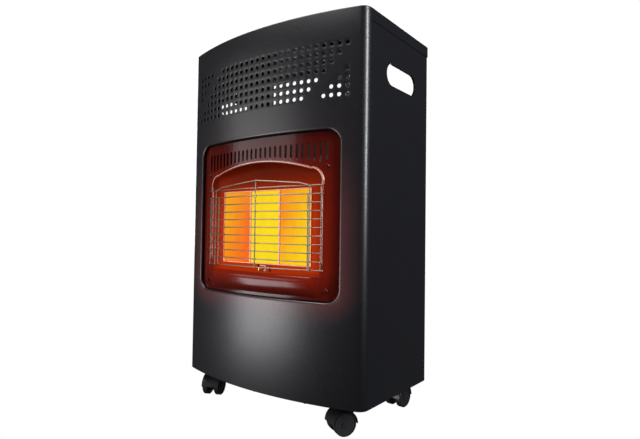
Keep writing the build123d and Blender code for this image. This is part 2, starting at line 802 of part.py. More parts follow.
def guard_rail():
    """The peaked top wire of the front layer, carried from post to post."""
    inset = guard_inset - guard_layer
    corner_z = guard_top
    stops = [(guard_post_x, corner_z), (guard_shoulder_x, corner_z + guard_shoulder_rise)]
    stops.append((guard_shoulder_x / 2, corner_z + (guard_shoulder_rise + guard_peak_rise) / 2))
    stops.append((0, corner_z + guard_peak_rise))
    points = [(x, bow_y(x, inset), z) for x, z in stops]
    half = []
    for start, end in zip(points, points[1:]):
        path = Line(start, end)
        half.append(sweep(Plane(origin=path @ 0, z_dir=path % 0) * wire_section(), path))
    return half + [mirror(wire, Plane.YZ) for wire in half]


def wire_guard():
    wires = [guard_row(guard_bottom + row * guard_pitch, guard_half_width) for row in range(1, guard_rows)]
    wires += [guard_row(z, guard_leg_x) for z in guard_leg_heights()]
    front, back = guard_inset - guard_layer, guard_inset + guard_layer
    for side in (-1, 1):
        low, high = guard_bottom - wire_radius, guard_top - guard_pitch + wire_radius
        wires.append(guard_post(side * guard_half_width, guard_inset, low, high))
        wires.append(guard_post(side * guard_back_post_x, back, low, high))
        wires.append(guard_post(side * guard_post_x, front, low, guard_top + wire_radius))
        for z in guard_leg_heights():
            leg = extrude(wire_section(), guard_leg_reach)
            wires.append(radial(side * guard_leg_x, z, guard_inset - wire_radius) * Rot(-90, 0, 0) * leg)
    wires.append(guard_post(0, front, guard_bottom - wire_radius, guard_top + guard_peak_rise))
    return Part() + wires + guard_rail()


# ---------------------------------------------------------------- pilot group
def pilot_bracket():
    wide = (pilot_middle_x - pilot_half_width + sheet, pilot_middle_x + pilot_half_width - sheet)
    floor, back = pilot_floor_z, burner_y + bracket_sheet
    bracket = block(wide, (pilot_y - pilot_plate_front + sheet, back), (floor, floor + bracket_sheet))
    bracket += block(wide, (back - bracket_sheet, back), (floor, burner_bottom))
    lug = (back - bracket_sheet, back + 2 * bracket_sheet)
    bracket += block(wide, lug, (burner_bottom - bracket_sheet, burner_bottom))
    radii = {pilot_burner_x: pilot_radius, electrode_x: electrode_radius, thermocouple_x: thermocouple_radius}
    for x, radius in radii.items():
        bracket -= upright(radius + running_gap, floor, floor + bracket_sheet, x, pilot_y)
    return bracket


def pilot_part(x, radius, top):
    """A round part standing in the pilot bracket, with a nut on its floor and a tail below it."""
    part = upright(radius, pilot_tail_z, top, x, pilot_y)
    nut = extrude(RegularPolygon(nut_radius, wire_sides), nut_height)
    return part + Pos(x, pilot_y, pilot_floor_z + bracket_sheet) * nut


def pilot_burner():
    top = reflector_bottom + nut_height
    body = pilot_part(pilot_burner_x, pilot_radius, top)
    slit = (pilot_burner_x - pilot_radius, pilot_burner_x + pilot_radius)
    body -= block(slit, (pilot_y - sheet / 2, pilot_y + sheet / 2), (top - nut_height / 2, top))
    inlet_top = pilot_tail_z + port_depth
    return body - upright(pilot_tube_radius + running_gap, pilot_tail_z, inlet_top, pilot_burner_x, pilot_y)


def ignition_electrode():
    top = reflector_bottom
    body = pilot_part(electrode_x, electrode_radius, top)
    wire = upright(electrode_wire, top, top + 2 * nut_height, electrode_x, pilot_y)
    tip = Pos(electrode_x, pilot_y, top + 2 * nut_height - electrode_wire) * Rot(0, -90, 0)
    reach = electrode_x - pilot_burner_x - 2 * electrode_wire
    return body + wire + tip * extrude(Circle(electrode_wire), reach)


def thermocouple():
    return pilot_part(thermocouple_x, thermocouple_radius, reflector_bottom + 2 * nut_height)


# ---------------------------------------------------------------- controls
def control_tray():
    well_wide, well_deep = tray_width - 2 * tray_rim - 2 * seat_gap, tray_depth - 2 * tray_rim - 2 * seat_gap
    rim = extrude(RectangleRounded(tray_width, tray_depth, tray_corner + tray_rim), tray_rim_height)
    rim = chamfer(rim.faces().sort_by(Axis.Z)[-1].edges(), tray_rim_height / 2)
    tray = Pos(0, 0, body_top) * rim
    well = extrude(RectangleRounded(well_wide, well_deep, tray_corner), body_top - valve_top)
    tray += Pos(0, 0, valve_top) * well
    inner = RectangleRounded(well_wide - 2 * tray_wall, well_deep - 2 * tray_wall, tray_corner - tray_wall)
    tray -= Pos(0, 0, tray_floor_z) * extrude(inner, tray_floor_drop + tray_rim_height)
    tray = Pos(tray_middle_x, tray_y, 0) * tray
    tray -= upright(spindle_radius + seat_gap, valve_top, tray_floor_z, valve_x, tray_y)
    return tray - upright(button_radius + running_gap, valve_top, tray_floor_z, button_x, tray_y)


def valve_port(run, radius):
    """A blind socket in the valve's right-hand face for a tube or lead."""
    place = Pos(valve_x + valve_width / 2, tray_y + run[2], valve_bottom + run[1])
    return place * Rot(0, 90, 0) * Cylinder(radius + running_gap, 2 * port_depth)


def nozzle_place():
    return Pos(valve_x, tray_y + valve_depth / 2, valve_bottom + nozzle_above_valve_bottom) * Rot(-90, 0, 0)


def gas_valve():
    half, deep = valve_width / 2, valve_depth / 2
    valve = block((valve_x - half, valve_x + half), (tray_y - deep, tray_y + deep), (valve_bottom, valve_top))
    valve = chamfer(valve.edges().filter_by(Axis.Z), bracket_sheet)
    valve -= upright(spindle_radius + running_gap, valve_top - spindle_in_valve, valve_top, valve_x, tray_y)
    valve -= valve_port(main_run, main_tube_radius)
    valve -= valve_port(pilot_run, pilot_tube_radius)
    valve -= valve_port(sensor_run, sensor_lead_radius)
    return valve - nozzle_place() * Cylinder(nozzle_bore, valve_depth / 2)


def flat_cut(gap, bottom, top):
    """What the spindle's flat removes between two heights."""
    reach = 2 * spindle_radius
    side = valve_x + spindle_radius - spindle_flat + gap
    return block((side, side + reach), (tray_y - reach, tray_y + reach), (bottom, top))


def valve_spindle():
    bottom, top = valve_top - spindle_in_valve, knob_bottom + spindle_in_knob
    bar = upright(spindle_radius, bottom + end_play, top, valve_x, tray_y)
    return bar - flat_cut(0, knob_bottom - knob_push - end_play, top)


def control_knob():
    top = knob_bottom + knob_height
    knob = upright(knob_radius, knob_bottom, top, valve_x, tray_y)
    knob = chamfer(knob.faces().sort_by(Axis.Z)[-1].edges(), knob_mark_width)
    for flute in range(knob_flutes):
        turn = 2 * math.pi * flute / knob_flutes
        x, y = valve_x + knob_radius * math.cos(turn), tray_y + knob_radius * math.sin(turn)
        knob -= upright(flute_radius, knob_bottom, top, x, y)
    mark = (valve_x - knob_mark_width / 2, valve_x + knob_mark_width / 2)
    knob -= block(mark, (tray_y - knob_radius, tray_y), (top - knob_mark_depth, top))
    ceiling = knob_bottom + spindle_in_knob + knob_push + end_play
    bore = upright(spindle_radius + running_gap, knob_bottom, ceiling, valve_x, tray_y)
    return knob - (bore - flat_cut(running_gap, knob_bottom, ceiling))


def igniter_button():
    top = tray_floor_z + button_proud
    button = upright(button_radius, top - button_length, top, button_x, tray_y)
    return chamfer(button.faces().sort_by(Axis.Z)[-1].edges(), knob_mark_width)


def piezo_igniter():
    bottom = valve_top - piezo_length
    pocket = tray_floor_z + button_proud - button_length - button_push - end_play
    piezo = upright(piezo_radius, bottom, valve_top, button_x, tray_y)
    piezo -= upright(button_radius + running_gap, pocket, valve_top, button_x, tray_y)
    return piezo - upright(lead_radius + running_gap, bottom, bottom + port_depth, button_x, tray_y)


def inlet_nozzle():
    nozzle = extrude(RegularPolygon(nozzle_hex / 2, wire_sides, major_radius=False), nozzle_hex_height)
    neck = nozzle_length - nozzle_land
    nozzle += Pos(0, 0, neck / 2) * Cylinder(nozzle_neck_radius, neck)
    nozzle += Pos(0, 0, nozzle_length / 2) * Cylinder(nozzle_radius, nozzle_length)
    nozzle -= Pos(0, 0, nozzle_length / 2) * Cylinder(nozzle_bore, nozzle_length)
    return nozzle_place() * nozzle


# ---------------------------------------------------------------- heat shield, gas tubes and leads
def line_y():
    return shield_y + sheet + line_behind_shield


def heat_shield():
    plate = block((-inner_x, inner_x), (shield_y, shield_y + sheet), (shield_bottom, shield_top))
    for x in (-inner_x, inner_x - sheet):
        plate += block((x, x + sheet), (shield_y, shield_y + shield_flange), (shield_bottom, shield_top))
    passes = [
        (main_run[0], manifold_middle_z, main_tube_radius), (pilot_run[0], pilot_run_z, pilot_tube_radius),
        (sensor_run[0], sensor_run_z, sensor_lead_radius), (button_x, lead_run_z, lead_radius),
    ]
    for x, z, radius in passes:
        hole = Cylinder(radius + pass_hole_clearance, 2 * shield_flange)
        plate -= Pos(x, shield_y, z) * Rot(90, 0, 0) * hole
    return plate


def line(points, radius):
    """A tube or lead along a route with rounded corners."""
    path = FilletPolyline(*points, radius=tube_bend)
    section = Plane(origin=path @ 0, z_dir=path % 0) * RegularPolygon(radius, tube_sides)
    return sweep(section, path)


def valve_line(run, low_z, front_y_line, ends, radius):
    """A line from the valve's right-hand face, down behind the heat shield and forward to its ends."""
    start = (valve_x + valve_width / 2 - port_depth, tray_y + run[2], valve_bottom + run[1])
    points = [start, (run[0], start[1], start[2]), (run[0], line_y(), start[2]), (run[0], line_y(), low_z)]
    return line(points + [(run[0], front_y_line, low_z)] + ends, radius)


def main_gas_tube():
    end = (manifold_length / 2 - port_depth, venturi_y, manifold_middle_z)
    return valve_line(main_run, manifold_middle_z, venturi_y, [end], main_tube_radius)


def pilot_tube():
    ends = [(pilot_burner_x, pilot_y, pilot_run_z), (pilot_burner_x, pilot_y, pilot_tail_z + port_depth)]
    return valve_line(pilot_run, pilot_run_z, pilot_y, ends, pilot_tube_radius)


def thermocouple_lead():
    ends = [(thermocouple_x, pilot_y, sensor_run_z), (thermocouple_x, pilot_y, pilot_tail_z)]
    return valve_line(sensor_run, sensor_run_z, pilot_y, ends, sensor_lead_radius)


def ignition_lead():
    top = valve_top - piezo_length
    points = [(button_x, tray_y, top + port_depth), (button_x, tray_y, top - lead_drop)]
    points += [(button_x, line_y(), top - lead_drop), (button_x, line_y(), lead_run_z)]
    points += [(button_x, pilot_y, lead_run_z), (electrode_x, pilot_y, lead_run_z)]
    return line(points + [(electrode_x, pilot_y, pilot_tail_z)], lead_radius)


# ---------------------------------------------------------------- screws
def screw():
    """A pan-head screw along -Z, its head's underside at the origin."""
    head = Pos(0, 0, screw_head_height / 2) * Cylinder(screw_head_radius, screw_head_height)
    head = chamfer(head.faces().sort_by(Axis.Z)[-1].edges(), screw_recess)
    for turn in (0, 90):
        slot = Rot(0, 0, turn) * Box(screw_head_radius, screw_recess, 2 * screw_recess)
        head -= Pos(0, 0, screw_head_height) * slot
    return head + Pos(0, 0, -screw_shank_length / 2) * Cylinder(screw_shank_radius, screw_shank_length)


def fascia_screws():
    places = [radial(x, z, fascia_inset) for x in (-screw_x, screw_x) for z in (screw_low_z, screw_high_z)]
    return Compound(children=[place * Rot(90, 0, 0) * screw() for place in places])


def base_screws():
    places = [Pos(x, bow_y(x, base_screw_inset), floor_gap) for x in (-base_screw_x, 0, base_screw_x)]
    return Compound(children=[place * Rot(180, 0, 0) * screw() for place in places])


# ---------------------------------------------------------------- castors
def castor_sockets():
    sockets = []
    for x, y in castor_places.values():
        bottom = base_bottom - socket_flange_height
        socket = upright(socket_flange_radius, bottom, base_bottom, x, y)
        socket += upright(socket_radius, bottom, base_bottom + socket_depth, x, y)
        sockets.append(socket - upright(stem_radius + running_gap, bottom, stem_top + sheet, x, y))
    return Compound(children=sockets)


def wheel_bar(radius, half_length):
    """A bar along the wheels' axis."""
    return Pos(0, -castor_trail, wheel_radius) * Rot(0, 90, 0) * Cylinder(radius, 2 * half_length)


def castor_housing():
    inner, outer = wheel_radius + hood_gap, wheel_radius + hood_gap + hood_wall
    hood_half = web_width / 2 + wheel_side_gap + wheel_width
    above = (wheel_radius, 3 * wheel_radius)
    upper = block((-wheel_radius, wheel_radius), (-3 * wheel_radius, wheel_radius), above)
    housing = (wheel_bar(outer, hood_half) - wheel_bar(inner, hood_half)) & upper
    housing += wheel_bar(outer, web_width / 2) & upper
    housing += wheel_bar(web_lower_radius, web_width / 2)
    housing += upright(boss_radius, boss_bottom, boss_top)
    housing -= upright(stem_radius + running_gap, stem_bottom, boss_top)
    return housing - wheel_bar(axle_radius + running_gap, web_width)


def castor_stem():
    stem = upright(stem_radius, stem_bottom, stem_top)
    return stem + upright(stem_collar_radius, boss_top, boss_top + stem_collar_height)


def castor_wheel(side):
    inner = web_width / 2 + wheel_side_gap
    wheel = Pos(0, 0, wheel_width / 2) * Cylinder(wheel_radius, wheel_width)
    wheel = chamfer(wheel.edges().filter_by(GeomType.CIRCLE), wheel_dish)
    dish = wheel_radius - 2 * wheel_dish
    recess = Cylinder(dish, 2 * wheel_dish) - Cylinder(2 * axle_radius, 2 * wheel_dish)
    wheel -= Pos(0, 0, wheel_width) * recess
    wheel -= upright(axle_radius + running_gap, 0, axle_half_length - inner + end_play)
    return Pos(side * inner, -castor_trail, wheel_radius) * Rot(0, side * 90, 0) * wheel


def castor_parts():
    return {
        "housing": castor_housing(),
        "stem": castor_stem(),
        "axle": wheel_bar(axle_radius, axle_half_length),
        "wheel_left": castor_wheel(-1),
        "wheel_right": castor_wheel(1),
    }


# ---------------------------------------------------------------- the whole heater
def cabinet_parts():
    return {
        "front_shell": front_shell(),
        "side_panel_left": side_panel(-1),
        "side_panel_right": side_panel(1),
        "top_panel": top_panel(),
        "base_tray": base_tray(),
        "rear_cover": rear_cover(),
        "fascia": fascia(),
        "reflector": reflector(),
        "heat_shield": heat_shield(),
        "fascia_screws": fascia_screws(),
        "base_screws": base_screws(),
        "castor_sockets": castor_sockets(),
    }


def burner_parts():
    places = plaque_places()
    return {
        "plaque_frame": plaque_frame(),
        "plaque_left": plaque(places["left"]),
        "plaque_centre": plaque(places["centre"]),
        "plaque_right": plaque(places["right"]),
        "plaque_gaskets": plaque_gaskets(),
        "burner_body": burner_body(),
        "burner_brackets": burner_brackets(),
        "venturi_tubes": Compound(children=[venturi_tube(x) for x in places.values()]),
        "injectors": Compound(children=[injector(x) for x in places.values()]),
        "manifold": manifold(),
        "manifold_brackets": manifold_brackets(),
        "wire_guard": wire_guard(),
        "pilot_bracket": pilot_bracket(),
        "pilot_burner": pilot_burner(),
        "ignition_electrode": ignition_electrode(),
        "thermocouple": thermocouple(),
    }


def control_parts():
    return {
        "control_tray": control_tray(),
        "gas_valve": gas_valve(),
        "valve_spindle": valve_spindle(),
        "control_knob": control_knob(),
        "igniter_button": igniter_button(),
        "piezo_igniter": piezo_igniter(),
        "inlet_nozzle": inlet_nozzle(),
        "main_gas_tube": main_gas_tube(),
        "pilot_tube": pilot_tube(),
        "thermocouple_lead": thermocouple_lead(),
        "ignition_lead": ignition_lead(),
    }


def placed_castors():
    parts = {}
    for corner, (x, y) in castor_places.items():
        for name, shape in castor_parts().items():
            parts[f"castor_{corner}_{name}"] = Pos(x, y, 0) * Rot(0, 0, rest_turn[corner]) * shape
    return parts


for node, shape in (cabinet_parts() | burner_parts() | control_parts() | placed_castors()).items():
    export_step(shape, f"parts/{node}.step")
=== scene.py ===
"""Looks of a portable gas cabinet heater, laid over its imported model.

Metres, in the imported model's own frame: +X is the viewer's right facing the front, the front faces -Y,
+Z is up and the floor is at zero.
"""

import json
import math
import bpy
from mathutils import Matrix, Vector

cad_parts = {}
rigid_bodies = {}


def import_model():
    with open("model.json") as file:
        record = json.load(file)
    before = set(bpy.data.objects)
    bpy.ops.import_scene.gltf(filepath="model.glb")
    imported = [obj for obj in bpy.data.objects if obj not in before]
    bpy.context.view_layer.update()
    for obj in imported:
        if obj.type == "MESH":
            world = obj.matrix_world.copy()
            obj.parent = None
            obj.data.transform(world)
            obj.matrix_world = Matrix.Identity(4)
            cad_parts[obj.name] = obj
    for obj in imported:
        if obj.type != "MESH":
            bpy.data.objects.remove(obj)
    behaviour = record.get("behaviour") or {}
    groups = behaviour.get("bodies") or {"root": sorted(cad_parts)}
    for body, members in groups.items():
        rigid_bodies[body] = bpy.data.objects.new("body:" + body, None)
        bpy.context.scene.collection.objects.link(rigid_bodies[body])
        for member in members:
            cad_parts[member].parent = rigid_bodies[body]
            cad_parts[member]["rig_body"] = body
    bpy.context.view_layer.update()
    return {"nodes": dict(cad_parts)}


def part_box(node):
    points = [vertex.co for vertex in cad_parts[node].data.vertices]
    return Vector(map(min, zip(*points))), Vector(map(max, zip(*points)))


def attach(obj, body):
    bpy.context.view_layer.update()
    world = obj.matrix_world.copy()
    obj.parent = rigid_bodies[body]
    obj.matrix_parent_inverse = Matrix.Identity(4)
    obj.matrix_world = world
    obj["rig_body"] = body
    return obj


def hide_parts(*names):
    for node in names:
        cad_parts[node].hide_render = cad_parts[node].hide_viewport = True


bl_info = {
    "name": "Gas cabinet heater",
    "version": (1, 0, 0),
    "blender": (4, 5, 0),
    "location": "3D View > Sidebar > Heater",
    "description": "Dresses a portable gas cabinet heater and sets it on a plain studio stage",
    "category": "Object",
}

import bmesh
import bpy
from bpy.props import FloatProperty, FloatVectorProperty, PointerProperty
from mathutils import Matrix, Vector

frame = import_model()

PIECE_MARK = "dressed_"

# ------------ sizes of the sheet-metal front
SHEET = 0.001
FRONT_BOW = 0.034
CORNER_RADIUS = 0.018
EDGE_ROLL = 0.002
SHELL_LIP = 0.014
OPENING_HALF = 0.171
OPENING_BOTTOM = 0.221
OPENING_TOP = 0.509
OPENING_RADIUS = 0.024
COLLAR_DEPTH = 0.010
COLLAR_ROLL = 0.004
# the opening, out to where its rolled edge starts
ROLL_HALF = OPENING_HALF + COLLAR_ROLL
ROLL_BOTTOM = OPENING_BOTTOM - COLLAR_ROLL
ROLL_TOP = OPENING_TOP + COLLAR_ROLL
ROLL_RADIUS = OPENING_RADIUS + COLLAR_ROLL
ROLL_MARGIN = 0.0015  # extra rows this far off the opening keep the roll's shading to itself
FASCIA_PROUD = 0.0100
BEAD_ROLL = 0.0013
HOLE_PITCH = 0.0142
HOLE_COLUMNS = 27
HOLE_ROWS = 7
TRIANGLE_ROWS = 4
TOP_ROW_DROP = 0.058
HOLE_SIDES = 16
CORNER_STEPS = 10
ROLL_STEPS = 4

# ------------ sizes of the hood
# half width, bottom, side top, shoulder across, shoulder height, crown
ARCH_MOUTH = (0.1358, 0.2640, 0.4145, 0.1128, 0.4468, 0.4638)
ARCH_THROAT = (0.122, 0.2675, 0.404, 0.103, 0.432, 0.447)
HOOD_SHEET = 0.0008
HOOD_INSET = 0.0080
HOOD_STEPS = 8
HOOD_EAR_START = 0.138
HOOD_EAR_STEPS = 3
HOOD_PILOT_CUT = 0.185
ARCH_SIDE_STEPS = 6
ARCH_SHOULDER_STEPS = 8
ARCH_CROWN_STEPS = 16
ARCH_FLOOR_STEPS = 24

# ------------ sizes of the wire guard
GUARD_ROWS = 11
GUARD_PITCH = 0.0144
GUARD_BOTTOM = 0.273
GUARD_HALF = 0.138
GUARD_LEG_X = 0.142
GUARD_INSET = 0.0032
GUARD_LAYER = 0.00175
GUARD_LEG_REACH = 0.011
GUARD_LEG_TAIL = (0.006, 0.0013)
GUARD_POST_X = 0.1175
GUARD_BACK_POST_X = 0.112
GUARD_SHOULDER_X = 0.097
GUARD_SHOULDER_RISE = 0.005
GUARD_PEAK_RISE = 0.0135
WIRE_SIDES = 10
WIRE_STEPS = 40
WIRE_RADIUS = 0.0011
WIRE_BEND = 0.003
WIRE_BEND_STEPS = 5

# ------------ sizes of the sill and the arch bead
# each sill curve as four places: inset from the front's outer face, height
SILL_OVER = ((0.0115, 0.2646), (0.0070, 0.2646), (0.0016, 0.2600), (0.0012, 0.2500))
SILL_UNDER = ((0.0012, 0.2500), (0.0010, 0.2420), (0.0030, 0.2330), (0.0063, 0.2275))
SILL_HALF = 0.1345
SILL_NOSE_HALF = (0.121, 0.131)
SILL_END_ROUND = 0.012
SILL_COLUMNS = 60
SILL_STEPS = 12
SILL_STAND_OFF = 5e-5
FASCIA_INSET = 0.0065
BEAD_ARCH = (0.13675, 0.2615, 0.4140, 0.1137, 0.4477, 0.46475)
BEAD_RADIUS = 0.00205
BEAD_FOOT_SHARE = 0.3
BEAD_SIDES = 10

# ------------ making meshes
SHARP_ANGLE = 30.0  # degrees a packed edge may turn and still be shaded smooth
WELD = 1e-6  # places closer than this become one
TOUCH = 1e-5  # slack for finding what lies on an edge
TINY = 1e-9  # keeps a division from being by zero

# ------------ camera
IMAGE_WIDTH = 640
CAMERA_PLACE = (0.6285, -0.76595, 0.3368)
CAMERA_AZIMUTH = 0.6465
CAMERA_PITCH = 0.0270
CAMERA_ROLL = 0.0137
FOCAL_PIXELS = 489.23
SENSOR_WIDTH = 36.0

# ------------ studio
SURROUND_SEEN = 1.05
SURROUND_CAST = 0.06
FLOOR_HALF = 6.0
LIGHTS = (
    # name, place, target, size, power, colour
    ("low_softbox", (-1.304, -1.759, -0.06), (0.0, -0.12, 0.22), (1.05, 0.85), 26.0, (0.98, 0.97, 1.0)),
    ("high_softbox", (-1.40, -1.68, 0.94), (0.0, -0.12, 0.50), (1.3, 0.50), 6.5, (1.0, 0.98, 0.99)),
    ("corner_strip", (1.95, -0.283, 1.20), (0.21, -0.10, 0.55), (0.30, 1.45), 58.0, (0.93, 0.95, 1.0)),
    ("top_softbox", (-0.6, -1.0, 2.2), (0.0, -0.1, 0.4), (1.6, 0.5), 36.0, (1.0, 0.98, 0.99)),
    ("rear_softbox", (-1.35, 2.1, 1.3), (0.0, 0.1, 0.35), (1.8, 1.6), 110.0, (1.0, 1.0, 1.0)),
    ("side_softbox", (-2.3, 1.4, 0.9), (0.0, 0.1, 0.35), (1.4, 1.4), 45.0, (1.0, 1.0, 1.0)),
)

# ------------ finishes
# painted firelight: a warm emission on the coat and enamel round the fire, fainter higher up, standing in for
# the fire's light
PAINTED_FIRELIGHT_HEIGHTS = (0.36, 0.48)
PAINTED_FIRELIGHT_TOP_SHARE = 0.10
PAINTED_FIRELIGHT_FADE = 1.6
# windows round which firelight is painted: half width, low, high, corner radius, and how far the painted
# light reaches round them
ARCH_WINDOW = (0.135, 0.262, 0.455, 0.02, 0.040)
OPENING_WINDOW = (ROLL_HALF, ROLL_BOTTOM, ROLL_TOP, ROLL_RADIUS, 0.042)
# how far the painted firelight reaches round the burner's window on the hood
HOOD_REACH = 0.06
# tones of each plaque: left edge, right edge, foot, head
PLAQUE_TONES = {
    "plaque_left": ((0.90, 0.42, 0.006), (0.98, 0.13, 0.002), (0.98, 0.10, 0.002), (0.88, 0.34, 0.010)),
    "plaque_centre": ((0.98, 0.70, 0.006), (0.98, 0.74, 0.005), (0.95, 0.68, 0.006), (0.94, 0.58, 0.008)),
    "plaque_right": ((0.96, 0.26, 0.004), (0.98, 0.66, 0.003), (0.98, 0.72, 0.003), (0.90, 0.30, 0.008)),
}
# metals: colour, roughness, and where it isn't drawn sheet, its grain and how deep that is
METALS = {
    "bright_steel": ((0.62, 0.30, 0.20), 0.50),
    "zinc_screws": ((0.52, 0.52, 0.50), 0.34),
    "aluminised_steel": ((0.48, 0.49, 0.50), 0.42),
    "brass": ((0.60, 0.42, 0.16), 0.28),
    "chromed_wire": ((0.25, 0.205, 0.17), 0.34),
    "copper_alloy": ((0.62, 0.30, 0.18), 0.35),
    "cast_aluminium": ((0.46, 0.46, 0.47), 0.5, (700.0, 700.0, 700.0), 0.3),
    "aluminium_tube": ((0.60, 0.61, 0.62), 0.32),
    "dull_sheet": ((0.045, 0.045, 0.050), 0.55),
    # the heat shield in a dark finish: painted shade seen through the fascia's slots
    "shield_steel": ((0.09, 0.085, 0.085), 0.30),
}
# plastics, rubber and fibre: colour, roughness
MOULDINGS = {
    "fibre_gasket": ((0.45, 0.43, 0.38), 0.9),
    "tray_plastic": ((0.018, 0.018, 0.020), 0.5),
    "knob_plastic": ((0.020, 0.020, 0.022), 0.38),
    "button_plastic": ((0.28, 0.02, 0.012), 0.35),
    "silicone_lead": ((0.50, 0.47, 0.42), 0.6),
    "castor_plastic": ((0.010, 0.010, 0.011), 0.40),
    "wheel_plastic": ((0.008, 0.008, 0.009), 0.50),
}
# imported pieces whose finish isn't that of their slot
OWN_FINISHES = {
    "fascia_screws": "red_brown_enamel",
    "pilot_bracket": "hood_enamel",
    # dark finish: painted shade behind the fascia's slots
    "heat_shield": "shield_steel",
    "burner_body": "dull_sheet",
    "burner_brackets": "dull_sheet",
    "manifold_brackets": "dull_sheet",
    "thermocouple": "dull_sheet",
}

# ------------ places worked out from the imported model
shell_low, shell_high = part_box("front_shell")
half_width = shell_high.x
seam_y = shell_high.y
bow_radius = (half_width**2 + FRONT_BOW**2) / (2 * FRONT_BOW)
bow_centre_y = shell_low.y + bow_radius
packed_slots = {name: node.data.materials[0].name for name, node in frame["nodes"].items()}
materials = {}


class HeaterSettings(bpy.types.PropertyGroup):
    """Sizes and colours that can be changed before the steps are run"""

    hole_across: FloatProperty(
        name="Hole diameter", description="Diameter of the front's punched holes",
        default=0.007, unit="LENGTH",
    )
    wire_across: FloatProperty(
        name="Wire diameter", description="Diameter of the guard's wires",
        default=2 * WIRE_RADIUS, unit="LENGTH",
    )
    edge_ease: FloatProperty(
        name="Edge rounding", description="Rounding of the sheet metal's cut edges",
        default=0.0003, unit="LENGTH",
    )
    coat_colour: FloatVectorProperty(
        name="Cabinet", description="Colour of the cabinet's powder coat",
        default=(0.0055, 0.0055, 0.0070), subtype="COLOR",
    )
    enamel_colour: FloatVectorProperty(
        name="Fascia", description="Colour of the fascia's enamel",
        default=(0.060, 0.004, 0.002), subtype="COLOR",
    )
    # scales the plaques' own glow and also the firelight painted round the opening, the arch and the hood
    glow: FloatProperty(
        name="Glow", description="Brightness of the burning plaques and of their firelight",
        default=1.0, min=0.0,
    )


def settings():
    return bpy.context.scene.heater


# ------------ node trees
class Graph:
    """Adds nodes to a tree and feeds their sockets with values or with other nodes' outputs."""

    def __init__(self, tree):
        self.tree = tree

    def feed(self, socket, value):
        if isinstance(value, bpy.types.Node):
            value = value.outputs[0]
        if isinstance(value, bpy.types.NodeSocket):
            self.tree.links.new(value, socket)
        else:
            socket.default_value = value

    def add(self, kind, inputs=None, **choices):
        node = self.tree.nodes.new(kind)
        for name, value in choices.items():
            setattr(node, name, value)
        for name, value in (inputs or {}).items():
            self.feed(node.inputs[name], value)
        return node

    def math(self, operation, first, second=0.0):
        return self.add("ShaderNodeMath", {0: first, 1: second}, operation=operation)


class Finish(Graph):
    """A material around one Principled shader, with its patterns placed by Object coordinates."""

    def __init__(self, name, **plain):
        self.material = bpy.data.materials.new(name)
        self.material.use_nodes = True
        super().__init__(self.material.node_tree)
        self.shader = self.tree.nodes["Principled BSDF"]
        self.place = self.add("ShaderNodeTexCoord").outputs["Object"]
        for label, value in plain.items():
            self.set(label.replace("_", " "), value)

    def set(self, label, value):
        if isinstance(value, tuple) and len(value) == 3:
            value = (*value, 1.0)
        self.feed(self.shader.inputs[label], value)

    def noise(self, scale, detail=2.0, place=None):
        inputs = {"Vector": place or self.place, "Scale": scale, "Detail": detail}
        return self.add("ShaderNodeTexNoise", inputs).outputs["Fac"]

    def blend(self, share, first, second):
        node = self.add("ShaderNodeMix", data_type="RGBA")
        self.feed(node.inputs["Factor"], share)
        for socket, colour in ((node.inputs[6], first), (node.inputs[7], second)):
            self.feed(socket, (*colour, 1.0) if isinstance(colour, tuple) and len(colour) == 3 else colour)
        return node.outputs[2]

    def ranged(self, value, low, high, start=0.0, end=1.0):
        inputs = {"Value": value, "From Min": start, "From Max": end, "To Min": low, "To Max": high}
        return self.add("ShaderNodeMapRange", inputs).outputs["Result"]

    def bump(self, height, strength, depth):
        node = self.add("ShaderNodeBump", {"Height": height, "Strength": strength, "Distance": depth})
        self.set("Normal", node.outputs["Normal"])

    def clouded(self, colour, cloud, dark, light):
        """Colours the finish, from a darker to a lighter shade with the cloud."""
        self.set("Base Color", self.blend(cloud, shade(colour, dark), shade(colour, light)))

    def rough(self, pattern, roughness, under, over):
        self.set("Roughness", self.ranged(pattern, roughness - under, roughness + over))

    def shaded(self, colour, factor):
        """A colour made darker or lighter by one factor."""
        return self.add("ShaderNodeVectorMath", {0: colour, "Scale": factor}, operation="SCALE").outputs[0]

    def painted_firelight(self, half, low, high, radius, reach, colour, start=0.0):
        """Painted firelight: a warm emission round a lit window with rounded corners, fading with the
        distance and the height, standing in for the fire's light on the surface.
        """
        axes = self.add("ShaderNodeSeparateXYZ", {"Vector": self.place}).outputs
        sideways = self.math("SUBTRACT", self.math("ABSOLUTE", axes["X"]), half - radius)
        below = self.math("SUBTRACT", low + radius, axes["Z"])
        above = self.math("SUBTRACT", axes["Z"], high - radius)
        sideways = self.math("MAXIMUM", sideways)
        upright = self.math("MAXIMUM", self.math("MAXIMUM", below, above))
        squares = [self.math("POWER", side, 2.0) for side in (sideways, upright)]
        apart = self.math("SQRT", self.math("ADD", *squares))
        share = self.math("POWER", self.ranged(apart, 1.0, 0.0, radius, radius + reach), PAINTED_FIRELIGHT_FADE)
        if start:
            share = self.math("MULTIPLY", share, self.ranged(apart, 0.0, 1.0, radius - start, radius))
        height = self.ranged(axes["Z"], 1.0, PAINTED_FIRELIGHT_TOP_SHARE, *PAINTED_FIRELIGHT_HEIGHTS)
        strength = self.math("MULTIPLY", share, height)
        self.set("Emission Color", colour)
        self.set("Emission Strength", self.math("MULTIPLY", strength, settings().glow))


def shade(colour, factor):
    return tuple(min(1.0, part * factor) for part in colour)


def powder_coat(name, colour, roughness, painted_firelight=()):
    """Satin powder coat: a fine orange peel over an even colour, with painted firelight where it is given."""
    finish = Finish(name)
    finish.clouded(colour, finish.noise(14.0, 3.0), 0.86, 1.14)
    finish.rough(finish.noise(190.0, 3.0), roughness, 0.05, 0.05)
    finish.bump(finish.noise(1500.0, 2.0), 0.10, 0.0003)
    if painted_firelight:
        finish.painted_firelight(*painted_firelight)
    return finish.material


